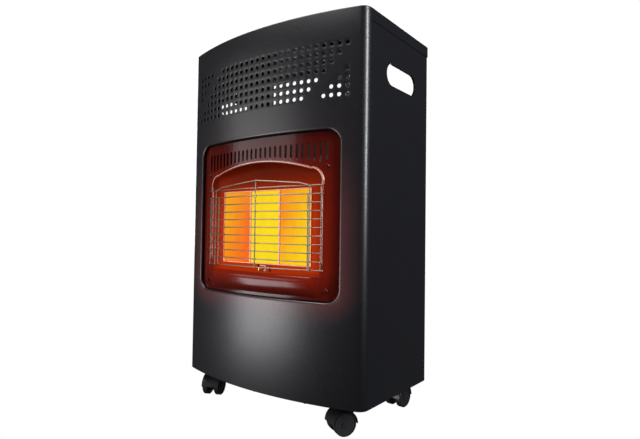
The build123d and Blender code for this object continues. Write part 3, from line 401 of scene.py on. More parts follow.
def enamel(name, colour, window, glow, shine=0.3, roughness=0.16):
    """Stove enamel round a fire: slow waves in the gloss, darker where it has run thick, and firelight
    painted round the window in the glow colour.
    """
    finish = Finish(name, Specular_IOR_Level=shine)
    finish.clouded(colour, finish.noise(26.0, 3.0), 0.75, 1.3)
    finish.rough(finish.noise(130.0), roughness, 0.04, 0.05)
    finish.bump(finish.noise(240.0, 1.0), 0.05, 0.0004)
    finish.painted_firelight(*window, glow)
    return finish.material


def drawn_metal(name, colour, roughness, grain=(900.0, 60.0, 900.0), strength=0.10):
    """Bare or plated metal: drawn grain along the sheet, with cloudy patches."""
    finish = Finish(name, Metallic=1.0)
    finish.clouded(colour, finish.noise(38.0, 4.0), 0.78, 1.12)
    stretched = finish.add("ShaderNodeMapping", {"Vector": finish.place, "Scale": grain})
    lines = finish.noise(1.0, 2.0, stretched)
    finish.rough(lines, roughness, 0.08, 0.10)
    finish.bump(lines, strength, 0.0001)
    return finish.material


def spangled_steel(name):
    """Galvanised sheet, with its zinc crystals."""
    finish = Finish(name, Metallic=1.0)
    crystals = finish.add("ShaderNodeTexVoronoi", {"Vector": finish.place, "Scale": 170.0})
    tone = finish.add("ShaderNodeSeparateColor", {"Color": crystals.outputs["Color"]}).outputs[0]
    finish.set("Base Color", finish.blend(tone, (0.40, 0.42, 0.44), (0.62, 0.64, 0.66)))
    finish.set("Roughness", finish.ranged(tone, 0.30, 0.52))
    return finish.material


def ceramic(name, colour):
    finish = Finish(name, Roughness=0.45)
    finish.clouded(colour, finish.noise(300.0, 4.0), 0.85, 1.0)
    finish.bump(finish.noise(2200.0), 0.10, 0.0002)
    return finish.material


def moulding(name, colour, roughness):
    """Moulded plastic, rubber or fibre with a fine texture."""
    finish = Finish(name)
    finish.clouded(colour, finish.noise(55.0, 3.0), 0.8, 1.25)
    finish.rough(finish.noise(320.0), roughness, 0.07, 0.08)
    finish.bump(finish.noise(900.0, 2.0), 0.12, 0.0002)
    return finish.material


def glowing_plaque(name, left, right, low, high):
    """Burning ceramic: rows of fine ports, glowing from tone to tone across the plaque."""
    finish = Finish(name, Base_Color=(0.020, 0.010, 0.006), Roughness=0.9, Specular_IOR_Level=0.1)
    axes = finish.add("ShaderNodeSeparateXYZ", {"Vector": finish.place}).outputs
    (low_x, _, low_z), (high_x, _, high_z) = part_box(name)
    across = finish.ranged(axes["X"], 0.0, 1.0, low_x, high_x)
    height = finish.ranged(axes["Z"], 0.0, 1.0, low_z, high_z)
    tone = finish.blend(across, left, right)
    tone = finish.blend(finish.ranged(height, 0.55, 0.0, 0.0, 0.6), tone, low)
    tone = finish.blend(finish.ranged(height, 0.0, 0.5, 0.6, 1.0), tone, high)
    cloud = finish.noise(60.0, 4.0)
    mottled = finish.blend(cloud, finish.shaded(tone, 0.88), finish.shaded(tone, 1.08))
    ports = finish.add(
        "ShaderNodeTexVoronoi", {"Vector": finish.place, "Scale": 620.0, "Randomness": 0.0}, feature="F1"
    )
    port = finish.ranged(ports.outputs["Distance"], 0.0, 1.0, 0.18, 0.34)
    finish.set("Emission Color", finish.blend(port, finish.shaded(mottled, 0.72), mottled))
    finish.set("Emission Strength", settings().glow)
    finish.bump(port, 0.4, 0.0004)
    return finish.material


def finishes():
    """Every material of the heater by its name, which is a packed slot's or one of this script's own."""
    coat, red_brown = tuple(settings().coat_colour), tuple(settings().enamel_colour)
    # painted glow: firelight painted on the front's coat round the opening
    opening_painted_glow = (*OPENING_WINDOW, (0.055, 0.011, 0.011), COLLAR_ROLL)
    # the window round which firelight is painted on the hood
    low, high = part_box("plaque_frame")
    hood_painted_glow_window = (high.x, low.z, high.z, 0.0, HOOD_REACH)
    made = [
        powder_coat("black_powder_coat", coat, 0.33),
        # the front's coat: the black coat with a painted glow round the opening
        powder_coat("front_coat", coat, 0.33, opening_painted_glow),
        # the fascia enamel, with firelight painted round the arch
        enamel("red_brown_enamel", red_brown, ARCH_WINDOW, (0.15, 0.007, 0.0010), shine=0.2),
        # the bead: a pale colour that is a painted highlight along the arch, with painted firelight as well
        enamel("bead_enamel", (0.48, 0.23, 0.18), ARCH_WINDOW, (0.22, 0.06, 0.035), 0.9, 0.2),
        # the hood enamel, with firelight painted round the burner's window
        enamel("hood_enamel", (0.11, 0.008, 0.0005), hood_painted_glow_window, (0.42, 0.026, 0.001), 0.02, 0.5),
        spangled_steel("galvanised_steel"),
        ceramic("white_ceramic", (0.75, 0.74, 0.70)),
    ]
    made += [drawn_metal(name, *choices) for name, choices in METALS.items()]
    made += [moulding(name, *choices) for name, choices in MOULDINGS.items()]
    return {material.name: material for material in made}


# ------------ pieces
def bow_y(x, inset=0.0):
    return bow_centre_y - math.sqrt((bow_radius - inset) ** 2 - x * x)


def linked(name, mesh):
    obj = bpy.data.objects.new(name, mesh)
    bpy.context.scene.collection.objects.link(obj)
    return obj


def mesh_object(name, bm):
    """An object made from a bmesh, which is then freed."""
    mesh = bpy.data.meshes.new(name)
    bm.to_mesh(mesh)
    bm.free()
    return linked(name, mesh)


def modify(obj, kind, **choices):
    modifier = obj.modifiers.new(kind.lower(), kind)
    for name, value in choices.items():
        setattr(modifier, name, value)


def ease(obj, degrees=40.0, harden=True):
    """Rounds off the edges that turn more than these degrees."""
    modify(
        obj, "BEVEL", width=settings().edge_ease, segments=2, limit_method="ANGLE",
        angle_limit=math.radians(degrees), harden_normals=harden,
    )


def smooth(mesh, degrees):
    mesh.polygons.foreach_set("use_smooth", [True] * len(mesh.polygons))
    mesh.set_sharp_from_angle(angle=math.radians(degrees))


def finish_piece(obj, node, material, degrees=35.0):
    """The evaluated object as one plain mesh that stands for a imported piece.

    Edges turned more than these degrees stay sharp, and None keeps the normals as they are.
    """
    source = obj.evaluated_get(bpy.context.evaluated_depsgraph_get())
    mesh = bpy.data.meshes.new_from_object(source)
    bpy.data.objects.remove(obj)
    mesh.name = node
    if degrees:
        smooth(mesh, degrees)
    mesh.materials.clear()
    mesh.materials.append(material)
    piece = linked(PIECE_MARK + node, mesh)
    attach(piece, frame["nodes"][node]["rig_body"])
    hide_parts(node)


def merged_copy(node):
    """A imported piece's skin as one welded bmesh with flat parts whole."""
    bm = bmesh.new()
    bm.from_mesh(frame["nodes"][node].data)
    bmesh.ops.remove_doubles(bm, verts=bm.verts, dist=WELD)
    bmesh.ops.dissolve_limit(bm, angle_limit=math.radians(0.05), verts=bm.verts, edges=bm.edges)
    return bm


def eased(node):
    """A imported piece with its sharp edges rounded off."""
    obj = mesh_object(node + "_raw", merged_copy(node))
    smooth(obj.data, SHARP_ANGLE)
    ease(obj)
    finish_piece(obj, node, materials[packed_slots[node]], None)


def curve_points(ends, count):
    """Places along a cubic curve, from its first place up to its last."""
    places = []
    for step in range(count + 1):
        t = step / count
        shares = ((1 - t) ** 3, 3 * t * (1 - t) ** 2, 3 * t * t * (1 - t), t**3)
        places.append(tuple(sum(share * end[axis] for share, end in zip(shares, ends)) for axis in (0, 1)))
    return places


def add_sill(bm):
    """The sill: a nose that swells out of the fascia below the arch and fades out at its rounded ends."""
    section = curve_points(SILL_OVER, SILL_STEPS) + curve_points(SILL_UNDER, SILL_STEPS)[1:]
    top, foot = section[0][1], section[-1][1]
    narrow, wide = SILL_NOSE_HALF
    rows = []
    for inset, z in section:
        reach = wide + (narrow - wide) * (z - foot) / (top - foot)
        row = []
        for column in range(SILL_COLUMNS + 1):
            x = SILL_HALF * (2 * column / SILL_COLUMNS - 1)
            past = min(1.0, max(0.0, (abs(x) - reach + SILL_END_ROUND) / SILL_END_ROUND))
            swell = math.sqrt(1 - past * past) if inset < FASCIA_INSET else 1.0
            y = bow_y(x, FASCIA_INSET - (FASCIA_INSET - inset) * swell - SILL_STAND_OFF)
            row.append(bm.verts.new((x, y, z)))
        rows.append(row)
    for upper, lower in zip(rows, rows[1:]):
        for i in range(SILL_COLUMNS):
            bm.faces.new([lower[i], lower[i + 1], upper[i + 1], upper[i]])


def cut_packed_sill(bm):
    """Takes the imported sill's faces out of the fascia's copy."""
    (_, foot), (_, top) = SILL_UNDER[-1], SILL_OVER[0]

    def on_sill(vert):
        return foot < vert.co.z < top and abs(vert.co.x) < SILL_HALF

    faces = [face for face in bm.faces if all(on_sill(vert) for vert in face.verts)]
    bmesh.ops.delete(bm, geom=faces, context="FACES")


def bead_ring(bm, place, along, radius):
    """Half a ring of the bead, across one place of the arch."""
    x, z = place
    ring = []
    for side in range(BEAD_SIDES + 1):
        turn = math.pi * side / BEAD_SIDES
        off = radius * math.cos(turn)
        across = x + along.y * off
        y = bow_y(across, FASCIA_INSET) - radius * math.sin(turn)
        ring.append(bm.verts.new((across, y, z - along.x * off)))
    return ring


def make_bead():
    """The half-round bead along the fascia's arch, thinning out at its feet, in a pale finish that is a
    painted highlight.
    """
    half, bottom = BEAD_ARCH[:2]
    arch = arch_points(*BEAD_ARCH)
    places = [(half, bottom)] + [place for place in arch if place[1] > bottom] + [(-half, bottom)]
    last = len(places) - 1
    bm = bmesh.new()
    rings = []
    for i, place in enumerate(places):
        before, after = places[max(0, i - 1)], places[min(last, i + 1)]
        along = Vector((after[0] - before[0], after[1] - before[1])).normalized()
        at_foot = i in (0, last)
        rings.append(bead_ring(bm, place, along, BEAD_RADIUS * (BEAD_FOOT_SHARE if at_foot else 1.0)))
    for one, two in zip(rings, rings[1:]):
        for i in range(BEAD_SIDES):
            bm.faces.new([one[i], two[i], two[i + 1], one[i + 1]])
    bmesh.ops.remove_doubles(bm, verts=bm.verts, dist=WELD)
    bead = mesh_object(PIECE_MARK + "fascia_bead", bm)
    smooth(bead.data, 60.0)
    bead.data.materials.append(materials["bead_enamel"])
    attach(bead, frame["nodes"]["fascia"]["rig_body"])


def make_fascia():
    """The fascia, with its sill, and its arch bead rolled rounder than its other edges."""
    bm = merged_copy("fascia")
    cut_packed_sill(bm)
    weight = bm.edges.layers.float.new("bevel_weight_edge")
    for edge in bm.edges:
        proud = all(vert.co.y < bow_y(vert.co.x, FASCIA_PROUD) for vert in edge.verts)
        if proud and edge.is_manifold and edge.calc_face_angle() > math.radians(SHARP_ANGLE):
            edge[weight] = 1.0
    add_sill(bm)
    obj = mesh_object("fascia_raw", bm)
    smooth(obj.data, SHARP_ANGLE)
    modify(obj, "BEVEL", width=BEAD_ROLL, segments=4, limit_method="WEIGHT", harden_normals=True)
    ease(obj)
    finish_piece(obj, "fascia", materials["red_brown_enamel"], None)


# ------------ front shell
def corner_turn():
    """The outward direction where the bow runs into the rounded corner."""
    return math.asin((half_width - CORNER_RADIUS) / (bow_radius - CORNER_RADIUS))


def plan_point(turn):
    """Place and outward direction on the shell's plan, by the turn of that direction from the front."""
    side, turn = math.copysign(1.0, turn), abs(turn)
    centre_x, centre_y, radius = 0.0, bow_centre_y, bow_radius
    if turn > corner_turn():
        centre_x = half_width - CORNER_RADIUS
        centre_y = bow_centre_y - math.sqrt((bow_radius - CORNER_RADIUS) ** 2 - centre_x**2)
        radius = CORNER_RADIUS
    out = Vector((math.sin(turn), -math.cos(turn)))
    place = Vector((centre_x, centre_y)) + out * radius
    return Vector((side * place.x, place.y)), Vector((side * out.x, out.y))


def shell_columns():
    """The shell's plan as places and outward directions, from the left seam to the right one."""
    turns = {step * HOLE_PITCH / 2 / bow_radius for step in range(HOLE_COLUMNS + 1)}
    turns |= {math.asin(x / bow_radius) for x in (ROLL_HALF, ROLL_HALF - ROLL_RADIUS)}
    start = corner_turn()
    turns |= {start + (math.pi / 2 - start) * step / CORNER_STEPS for step in range(CORNER_STEPS + 1)}
    ordered = sorted({-turn for turn in turns} | turns)
    columns = [plan_point(turn) for turn in ordered]
    for side, at in ((-1.0, 0), (1.0, len(columns) + 1)):
        columns.insert(at, (Vector((side * half_width, seam_y)), Vector((side, 0.0))))
    return columns


def band_top():
    return shell_high.z - TOP_ROW_DROP + HOLE_PITCH / 2


def shell_rows():
    """Heights and insets of the shell's rows, from the bottom lip up to the top lip."""
    heights = [ROLL_BOTTOM, ROLL_BOTTOM + ROLL_RADIUS, ROLL_TOP - ROLL_RADIUS, ROLL_TOP]
    heights += [ROLL_BOTTOM - ROLL_MARGIN, ROLL_TOP + ROLL_MARGIN]
    heights += [band_top() - step * HOLE_PITCH / 2 for step in range(2 * HOLE_ROWS + 1)]
    roll = [math.pi / 2 * step / ROLL_STEPS for step in range(ROLL_STEPS + 1)]
    low = [(shell_low.z, SHELL_LIP)]
    low += [(shell_low.z + EDGE_ROLL * (1 - math.cos(t)), EDGE_ROLL * (1 - math.sin(t))) for t in roll]
    high = [(shell_high.z - (z - shell_low.z), inset) for z, inset in reversed(low)]
    return low + [(z, 0.0) for z in sorted(heights)] + high


def opening_corner(sx, top):
    """The sheet outside one of the opening's rounded corners, as a loop of flat places."""
    x = ROLL_HALF - ROLL_RADIUS
    z = ROLL_TOP - ROLL_RADIUS if top else ROLL_BOTTOM + ROLL_RADIUS
    rise = ROLL_RADIUS if top else -ROLL_RADIUS
    turns = [math.pi / 2 * step / CORNER_STEPS for step in range(CORNER_STEPS + 1)]
    arc = [(sx * (x + ROLL_RADIUS * math.cos(t)), z + rise * math.sin(t)) for t in turns]
    lines = [step * HOLE_PITCH / 2 / bow_radius for step in range(HOLE_COLUMNS)]
    across = [bow_radius * math.sin(turn) for turn in lines if x < bow_radius * math.sin(turn) < ROLL_HALF]
    edge = [(sx * value, z + rise) for value in sorted(across)]
    loop = arc + edge + [(sx * ROLL_HALF, z + rise)]
    return loop if (sx > 0) != top else loop[::-1]


def hole_is_punched(row, column):
    """The pattern: a slanted block between two corner triangles, set apart by slanted gaps."""
    last_row, last_column = HOLE_ROWS - 1, HOLE_COLUMNS - 1
    in_block = row <= column <= last_column - (last_row - row)
    in_right = column <= row - (HOLE_ROWS - TRIANGLE_ROWS)
    in_left = last_column - column <= last_row - row - (HOLE_ROWS - TRIANGLE_ROWS)
    return in_block or in_right or in_left


def shell_sheet():
    """The shell's skin without its punched band, plus one loose point for each cell of the band."""
    bm = bmesh.new()
    cell = bm.verts.layers.int.new("cell")
    found = {}

    def vertex(x, y, z):
        key = (round(x, 6), round(z, 6), round(y, 6))
        if key not in found:
            found[key] = bm.verts.new((x, y, z))
        return found[key]

    columns, rows = shell_columns(), shell_rows()
    band = (band_top() - HOLE_ROWS * HOLE_PITCH, band_top())
    band_x = bow_radius * math.sin(HOLE_COLUMNS * HOLE_PITCH / 2 / bow_radius)
    for left, right in zip(columns, columns[1:]):
        for low, high in zip(rows, rows[1:]):
            middle = Vector(((left[0].x + right[0].x) / 2, (low[0] + high[0]) / 2))
            in_opening = abs(middle.x) < ROLL_HALF and ROLL_BOTTOM < middle.y < ROLL_TOP
            if in_opening or (abs(middle.x) < band_x and band[0] < middle.y < band[1]):
                continue
            corners = [(left, low), (right, low), (right, high), (left, high)]
            places = [(*(place - out * inset), z) for (place, out), (z, inset) in corners]
            bm.faces.new([vertex(*place) for place in places])
    for side in (-1, 1):
        for top in (False, True):
            bm.faces.new([vertex(x, bow_y(x), z) for x, z in opening_corner(side, top)])
    add_collar(bm)
    for row in range(HOLE_ROWS):
        for column in range(HOLE_COLUMNS):
            place = ((HOLE_COLUMNS - 1) / 2 - column) * HOLE_PITCH, 0.0, band_top() - (row + 0.5) * HOLE_PITCH
            bm.verts.new(place)[cell] = 1 if hole_is_punched(row, column) else 2
    return mesh_object("shell_sheet", bm)


def add_collar(bm):
    """The opening's edge, rolled over in a quarter turn and then turned straight in."""

    def on_opening(vert):
        return abs(vert.co.x) < ROLL_HALF + TOUCH and ROLL_BOTTOM - TOUCH < vert.co.z < ROLL_TOP + TOUCH

    rim = [edge for edge in bm.edges if edge.is_boundary and all(on_opening(v) for v in edge.verts)]
    turns = [math.pi / 2 * step / ROLL_STEPS for step in range(ROLL_STEPS + 1)]
    for start, end in zip(turns, turns[1:]):
        inward, deeper = math.sin(end) - math.sin(start), math.cos(start) - math.cos(end)
        rim = turned_in(bm, rim, COLLAR_ROLL * inward, COLLAR_ROLL * deeper)
    turned_in(bm, rim, 0.0, COLLAR_DEPTH - COLLAR_ROLL)


def collar_place(place, inward, deeper):
    """A place on the opening's edge, moved towards the opening's middle and deeper."""
    x, y, z = place
    half, low, high = ROLL_HALF - ROLL_RADIUS, ROLL_BOTTOM + ROLL_RADIUS, ROLL_TOP - ROLL_RADIUS
    centre = Vector((max(-half, min(half, x)), max(low, min(high, z))))
    out = (Vector((x, z)) - centre).normalized()
    moved = x - out.x * inward
    return moved, y + bow_y(moved) - bow_y(x) + deeper, z - out.y * inward


def turned_in(bm, rim, inward, deeper):
    """One more ring of the collar, made edge by edge so that its faces keep one order."""
    moved = {}
    ring = []
    for edge in rim:
        one, two = edge.verts
        if edge.link_loops[0].vert == one:
            one, two = two, one
        for vert in (one, two):
            if vert not in moved:
                moved[vert] = bm.verts.new(collar_place(vert.co, inward, deeper))
        bm.faces.new([one, two, moved[two], moved[one]])
        ring.append(bm.edges.get((moved[one], moved[two])))
    return ring


def tile(name, sides):
    """One square cell of the band, a pitch wide: whole, or with a hole of so many sides.

    The tree gives the hole its real size.
    """
    bm = bmesh.new()
    rim = bm.verts.layers.int.new("rim")
    square = [(1, 0), (1, 1), (0, 1), (-1, 1), (-1, 0), (-1, -1), (0, -1), (1, -1)]
    border = [bm.verts.new((x / 2, 0.0, z / 2)) for x, z in square]
    if sides:
        turns = [2 * math.pi * step / sides for step in range(sides)]
        ring = [bm.verts.new((math.cos(t) / 4, 0.0, math.sin(t) / 4)) for t in turns]
        for vert in ring:
            vert[rim] = 1
        share = sides // len(border)
        for step in range(len(border)):
            inner = [ring[(step * share + part) % sides] for part in range(share, -1, -1)]
            bm.faces.new([border[step], border[(step + 1) % len(border)], *inner])
    else:
        bm.faces.new(border)
    return mesh_object(name, bm)


class GeometryTree(Graph):
    """A Geometry Nodes tree with one geometry in, one out and named sizes."""

    def __init__(self, name, sizes):
        super().__init__(bpy.data.node_groups.new(name, "GeometryNodeTree"))
        self.tree.interface.new_socket("Geometry", in_out="INPUT", socket_type="NodeSocketGeometry")
        for size in sizes:
            self.tree.interface.new_socket(size, in_out="INPUT", socket_type="NodeSocketFloat")
        self.tree.interface.new_socket("Geometry", in_out="OUTPUT", socket_type="NodeSocketGeometry")
        self.sizes = sizes
        self.given = self.add("NodeGroupInput").outputs

    def attribute(self, name):
        node = self.add("GeometryNodeInputNamedAttribute", {"Name": name}, data_type="INT")
        return node.outputs["Attribute"]

    def compare(self, first, second, operation="EQUAL"):
        return self.add("FunctionNodeCompare", {2: first, 3: second}, data_type="INT", operation=operation)

    def object(self, obj):
        return self.add("GeometryNodeObjectInfo", {"Object": obj}).outputs["Geometry"]

    def placed(self, geometry, place, chosen=True):
        inputs = {"Geometry": geometry, "Selection": chosen, "Position": place}
        return self.add("GeometryNodeSetPosition", inputs)

    def joined(self, *parts):
        node = self.add("GeometryNodeJoinGeometry")
        for part in parts:
            self.feed(node.inputs[0], part)
        return node

    def bent(self, geometry, radius, centre):
        """Wraps what lies along X round the bow, keeping how far it stands off along Y."""
        place = self.add("ShaderNodeSeparateXYZ", {0: self.add("GeometryNodeInputPosition")}).outputs
        turn = self.math("DIVIDE", place["X"], radius)
        reach = self.math("SUBTRACT", radius, place["Y"])
        x = self.math("MULTIPLY", reach, self.math("SINE", turn))
        y = self.math("SUBTRACT", centre, self.math("MULTIPLY", reach, self.math("COSINE", turn)))
        bent = self.add("ShaderNodeCombineXYZ", {"X": x, "Y": y, "Z": place["Z"]})
        return self.placed(geometry, bent)

    def run(self, obj, material, *values):
        """Ends the tree, and puts it on an object with its sizes set."""
        geometry = self.add("GeometryNodeRealizeInstances", {"Geometry": self.end})
        geometry = self.add("GeometryNodeSetMaterial", {"Geometry": geometry, "Material": material})
        self.add("NodeGroupOutput", {0: geometry})
        modifier = obj.modifiers.new("nodes", "NODES")
        modifier.node_group = self.tree
        inputs = [item for item in self.tree.interface.items_tree if item.in_out == "INPUT"]
        sockets = {item.name: item.identifier for item in inputs}
        for size, value in zip(self.sizes, values):
            modifier[sockets[size]] = value


def punched_band_tree(punched, whole):
    """Sets a tile on every loose point of the sheet, wraps the tiles round the bow and welds them in."""
    tree = GeometryTree("punched_band", ("Pitch", "Hole diameter", "Bow radius", "Bow centre"))
    given = tree.given
    cell = tree.attribute("cell")
    is_cell = tree.compare(cell, 0, "GREATER_THAN")
    parts = tree.add("GeometryNodeSeparateGeometry", {"Geometry": given["Geometry"], "Selection": is_cell})
    share = tree.math("DIVIDE", given["Hole diameter"], tree.math("MULTIPLY", given["Pitch"], 2.0))
    place = tree.add("GeometryNodeInputPosition")
    outward = tree.add("ShaderNodeVectorMath", {0: place}, operation="NORMALIZE")
    rim = tree.add("ShaderNodeVectorMath", {0: outward, "Scale": share}, operation="SCALE")
    on_rim = tree.compare(tree.attribute("rim"), 1)
    holed = tree.placed(tree.object(punched), rim, on_rim.outputs[0])
    size = tree.add("ShaderNodeCombineXYZ", {"X": given["Pitch"], "Y": given["Pitch"], "Z": given["Pitch"]})
    sets = []
    for kind, shape in ((1, holed), (2, tree.object(whole))):
        inputs = {"Points": parts.outputs["Selection"], "Instance": shape, "Scale": size}
        inputs["Selection"] = tree.compare(cell, kind).outputs[0]
        sets.append(tree.add("GeometryNodeInstanceOnPoints", inputs))
    tiles = tree.add("GeometryNodeRealizeInstances", {"Geometry": tree.joined(*sets)})
    wrapped = tree.bent(tiles, given["Bow radius"], given["Bow centre"])
    whole_skin = tree.joined(wrapped, parts.outputs["Inverted"])
    tree.end = tree.add("GeometryNodeMergeByDistance", {"Geometry": whole_skin, "Distance": 2 * TOUCH})
    return tree


def make_front_shell():
    """The shell's sheet, punched, given its thickness and eased."""
    # the coat with firelight painted round the opening
    material = materials["front_coat"]
    punched, whole = tile("punched_tile", HOLE_SIDES), tile("whole_tile", 0)
    sheet = shell_sheet()
    sizes = (HOLE_PITCH, settings().hole_across, bow_radius, bow_centre_y)
    punched_band_tree(punched, whole).run(sheet, material, *sizes)
    modify(sheet, "SOLIDIFY", thickness=SHEET, offset=-1.0, use_even_offset=True)
    ease(sheet, 50.0, False)
    finish_piece(sheet, "front_shell", material)
    for obj in (punched, whole):
        bpy.data.objects.remove(obj)


# ------------ hood
def arc_points(start, middle, end, count):
    """Points on the circle through three places, from the first up to but not onto the last."""
    (ax, ay), (bx, by), (cx, cy) = start, middle, end
    double = 2 * (ax * (by - cy) + bx * (cy - ay) + cx * (ay - by))
    a2, b2, c2 = ax**2 + ay**2, bx**2 + by**2, cx**2 + cy**2
    x = (a2 * (by - cy) + b2 * (cy - ay) + c2 * (ay - by)) / double
    y = (a2 * (cx - bx) + b2 * (ax - cx) + c2 * (bx - ax)) / double
    first = math.atan2(ay - y, ax - x)
    last = first + (math.atan2(cy - y, cx - x) - first) % math.tau
    radius = math.hypot(ax - x, ay - y)
    turns = [first + (last - first) * step / count for step in range(count)]
    return [(x + radius * math.cos(turn), y + radius * math.sin(turn)) for turn in turns]


def arch_points(half, bottom, side_top, shoulder_x, shoulder_z, crown):
    """The arch's outline from its right foot over the crown to its left foot, and back along the floor."""
    side, shoulder = (half, side_top), (shoulder_x, shoulder_z)
    lean = math.cos(math.atan2(crown - shoulder_z, shoulder_x))
    bulge = lean * math.hypot(half - shoulder_x, shoulder_z - side_top) / 2 * math.tan(math.pi / 8)
    middle = ((half + shoulder_x) / 2 + bulge, (side_top + shoulder_z) / 2 + bulge)
    left_side, left_shoulder, left_middle = ((-x, z) for x, z in (side, shoulder, middle))
    rise = (side_top - bottom) / ARCH_SIDE_STEPS
    points = [(half, bottom + rise * step) for step in range(ARCH_SIDE_STEPS)]
    points += arc_points(side, middle, shoulder, ARCH_SHOULDER_STEPS)
    points += arc_points(shoulder, (0.0, crown), left_shoulder, ARCH_CROWN_STEPS)
    points += arc_points(left_shoulder, left_middle, left_side, ARCH_SHOULDER_STEPS)
    points += [(-half, side_top - rise * step) for step in range(ARCH_SIDE_STEPS)]
    return points + [(-half + 2 * half * step / ARCH_FLOOR_STEPS, bottom) for step in range(ARCH_FLOOR_STEPS)]


def window_points(outline, low, high):
    """The burner's window, point by point straight across from an outline round it."""
    centre = ((low.x + high.x) / 2, (low.z + high.z) / 2)
    half = ((high.x - low.x) / 2, (high.z - low.z) / 2)
    places = []
    for x, z in outline:
        dx, dz = x - centre[0], z - centre[1]
        reach = min(half[0] / max(abs(dx), TINY), half[1] / max(abs(dz), TINY))
        places.append((centre[0] + dx * reach, centre[1] + dz * reach))
    return places


def hood_rings(bm, back):
    """Rings of the dish, from the arch's mouth through its throat to the burner's window."""
    mouth, throat = arch_points(*ARCH_MOUTH), arch_points(*ARCH_THROAT)
    rings = []
    for step in range(HOOD_STEPS + 1):
        turn = math.pi / 2 * step / HOOD_STEPS
        across, depth = 1 - math.cos(turn), math.sin(turn)
        ring = []
        for (mouth_x, mouth_z), (throat_x, throat_z) in zip(mouth, throat):
            front = bow_y(mouth_x, HOOD_INSET)
            x, z = mouth_x + (throat_x - mouth_x) * across, mouth_z + (throat_z - mouth_z) * across
            ring.append(bm.verts.new((x, front + (back - front) * depth, z)))
        rings.append(ring)
    rings.append([bm.verts.new((x, back, z)) for x, z in window_points(throat, *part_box("plaque_frame"))])
    return rings


def add_hood_ears(bm, low, high):
    """The flat strips beside the dish, which lie against the fascia."""
    for side in (-1, 1):
        ends = range(HOOD_EAR_STEPS + 1)
        xs = [side * (HOOD_EAR_START + (high.x - HOOD_EAR_START) * step / HOOD_EAR_STEPS) for step in ends]
        for one, two in zip(xs, xs[1:]):
            strip = [(one, low.z), (two, low.z), (two, high.z), (one, high.z)]
            bm.faces.new([bm.verts.new((x, bow_y(x, HOOD_INSET), z)) for x, z in strip])


def make_hood():
    """The pressed hood: a dish that hugs the fascia's arch and narrows to the burner's window."""
    low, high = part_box("reflector")
    pilot_low, pilot_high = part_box("pilot_bracket")
    bm = bmesh.new()
    rings = hood_rings(bm, high.y - HOOD_SHEET)
    for step, (outer, inner) in enumerate(zip(rings, rings[1:])):
        for i in range(len(outer)):
            j = (i + 1) % len(outer)
            corners = [outer[i], outer[j], inner[j], inner[i]]
            middle = sum((vert.co for vert in corners), Vector()) / 4
            over_pilot = pilot_low.x < middle.x < pilot_high.x and middle.z < high.z - HOOD_PILOT_CUT
            if step <= HOOD_STEPS // 3 or not over_pilot:
                bm.faces.new(corners)
    add_hood_ears(bm, low, high)
    bmesh.ops.remove_doubles(bm, verts=bm.verts, dist=WELD)
    bmesh.ops.recalc_face_normals(bm, faces=bm.faces)
    obj = mesh_object("hood", bm)
    modify(obj, "SOLIDIFY", thickness=HOOD_SHEET, offset=0.0)
    finish_piece(obj, "reflector", materials["hood_enamel"])


# ------------ wire guard
def guard_paths():
    """The guard's upright wires, legs and peaked top wire, as edges to be made round."""
    bm = bmesh.new()
    front, back = GUARD_INSET - GUARD_LAYER, GUARD_INSET + GUARD_LAYER
    low, top = GUARD_BOTTOM - WIRE_RADIUS, GUARD_BOTTOM + (GUARD_ROWS - 1) * GUARD_PITCH
    under_top = top - GUARD_PITCH + WIRE_RADIUS
    tail_x, tail_y = GUARD_LEG_TAIL

    def path(places):
        verts = [bm.verts.new(place) for place in places]
        for pair in zip(verts, verts[1:]):
            bm.edges.new(pair)

    for side in (-1, 1):
        for x, inset in ((GUARD_HALF, GUARD_INSET), (GUARD_BACK_POST_X, back)):
            path([(side * x, bow_y(x, inset), z) for z in (low, under_top)])
        for z in (GUARD_BOTTOM, top - GUARD_PITCH):
            leg = Vector((side * GUARD_LEG_X, bow_y(GUARD_LEG_X, GUARD_INSET), z))
            inward = Vector((-leg.x, bow_centre_y - leg.y, 0.0)).normalized() * GUARD_LEG_REACH
            path([leg + Vector((-side * tail_x, -tail_y, 0.0)), leg, leg + inward])
    rail = [(GUARD_POST_X, low), (GUARD_POST_X, top), (GUARD_SHOULDER_X, top + GUARD_SHOULDER_RISE)]
    rail += [(GUARD_SHOULDER_X / 2, top + (GUARD_SHOULDER_RISE + GUARD_PEAK_RISE) / 2)]
    rail += [(0.0, top + GUARD_PEAK_RISE)]
    rail += [(-x, z) for x, z in reversed(rail[:-1])]
    path([(x, bow_y(x, front), z) for x, z in rail])
    path([(0.0, bow_y(0.0, front), z) for z in (low, top + GUARD_PEAK_RISE)])
    return mesh_object("guard_paths", bm)


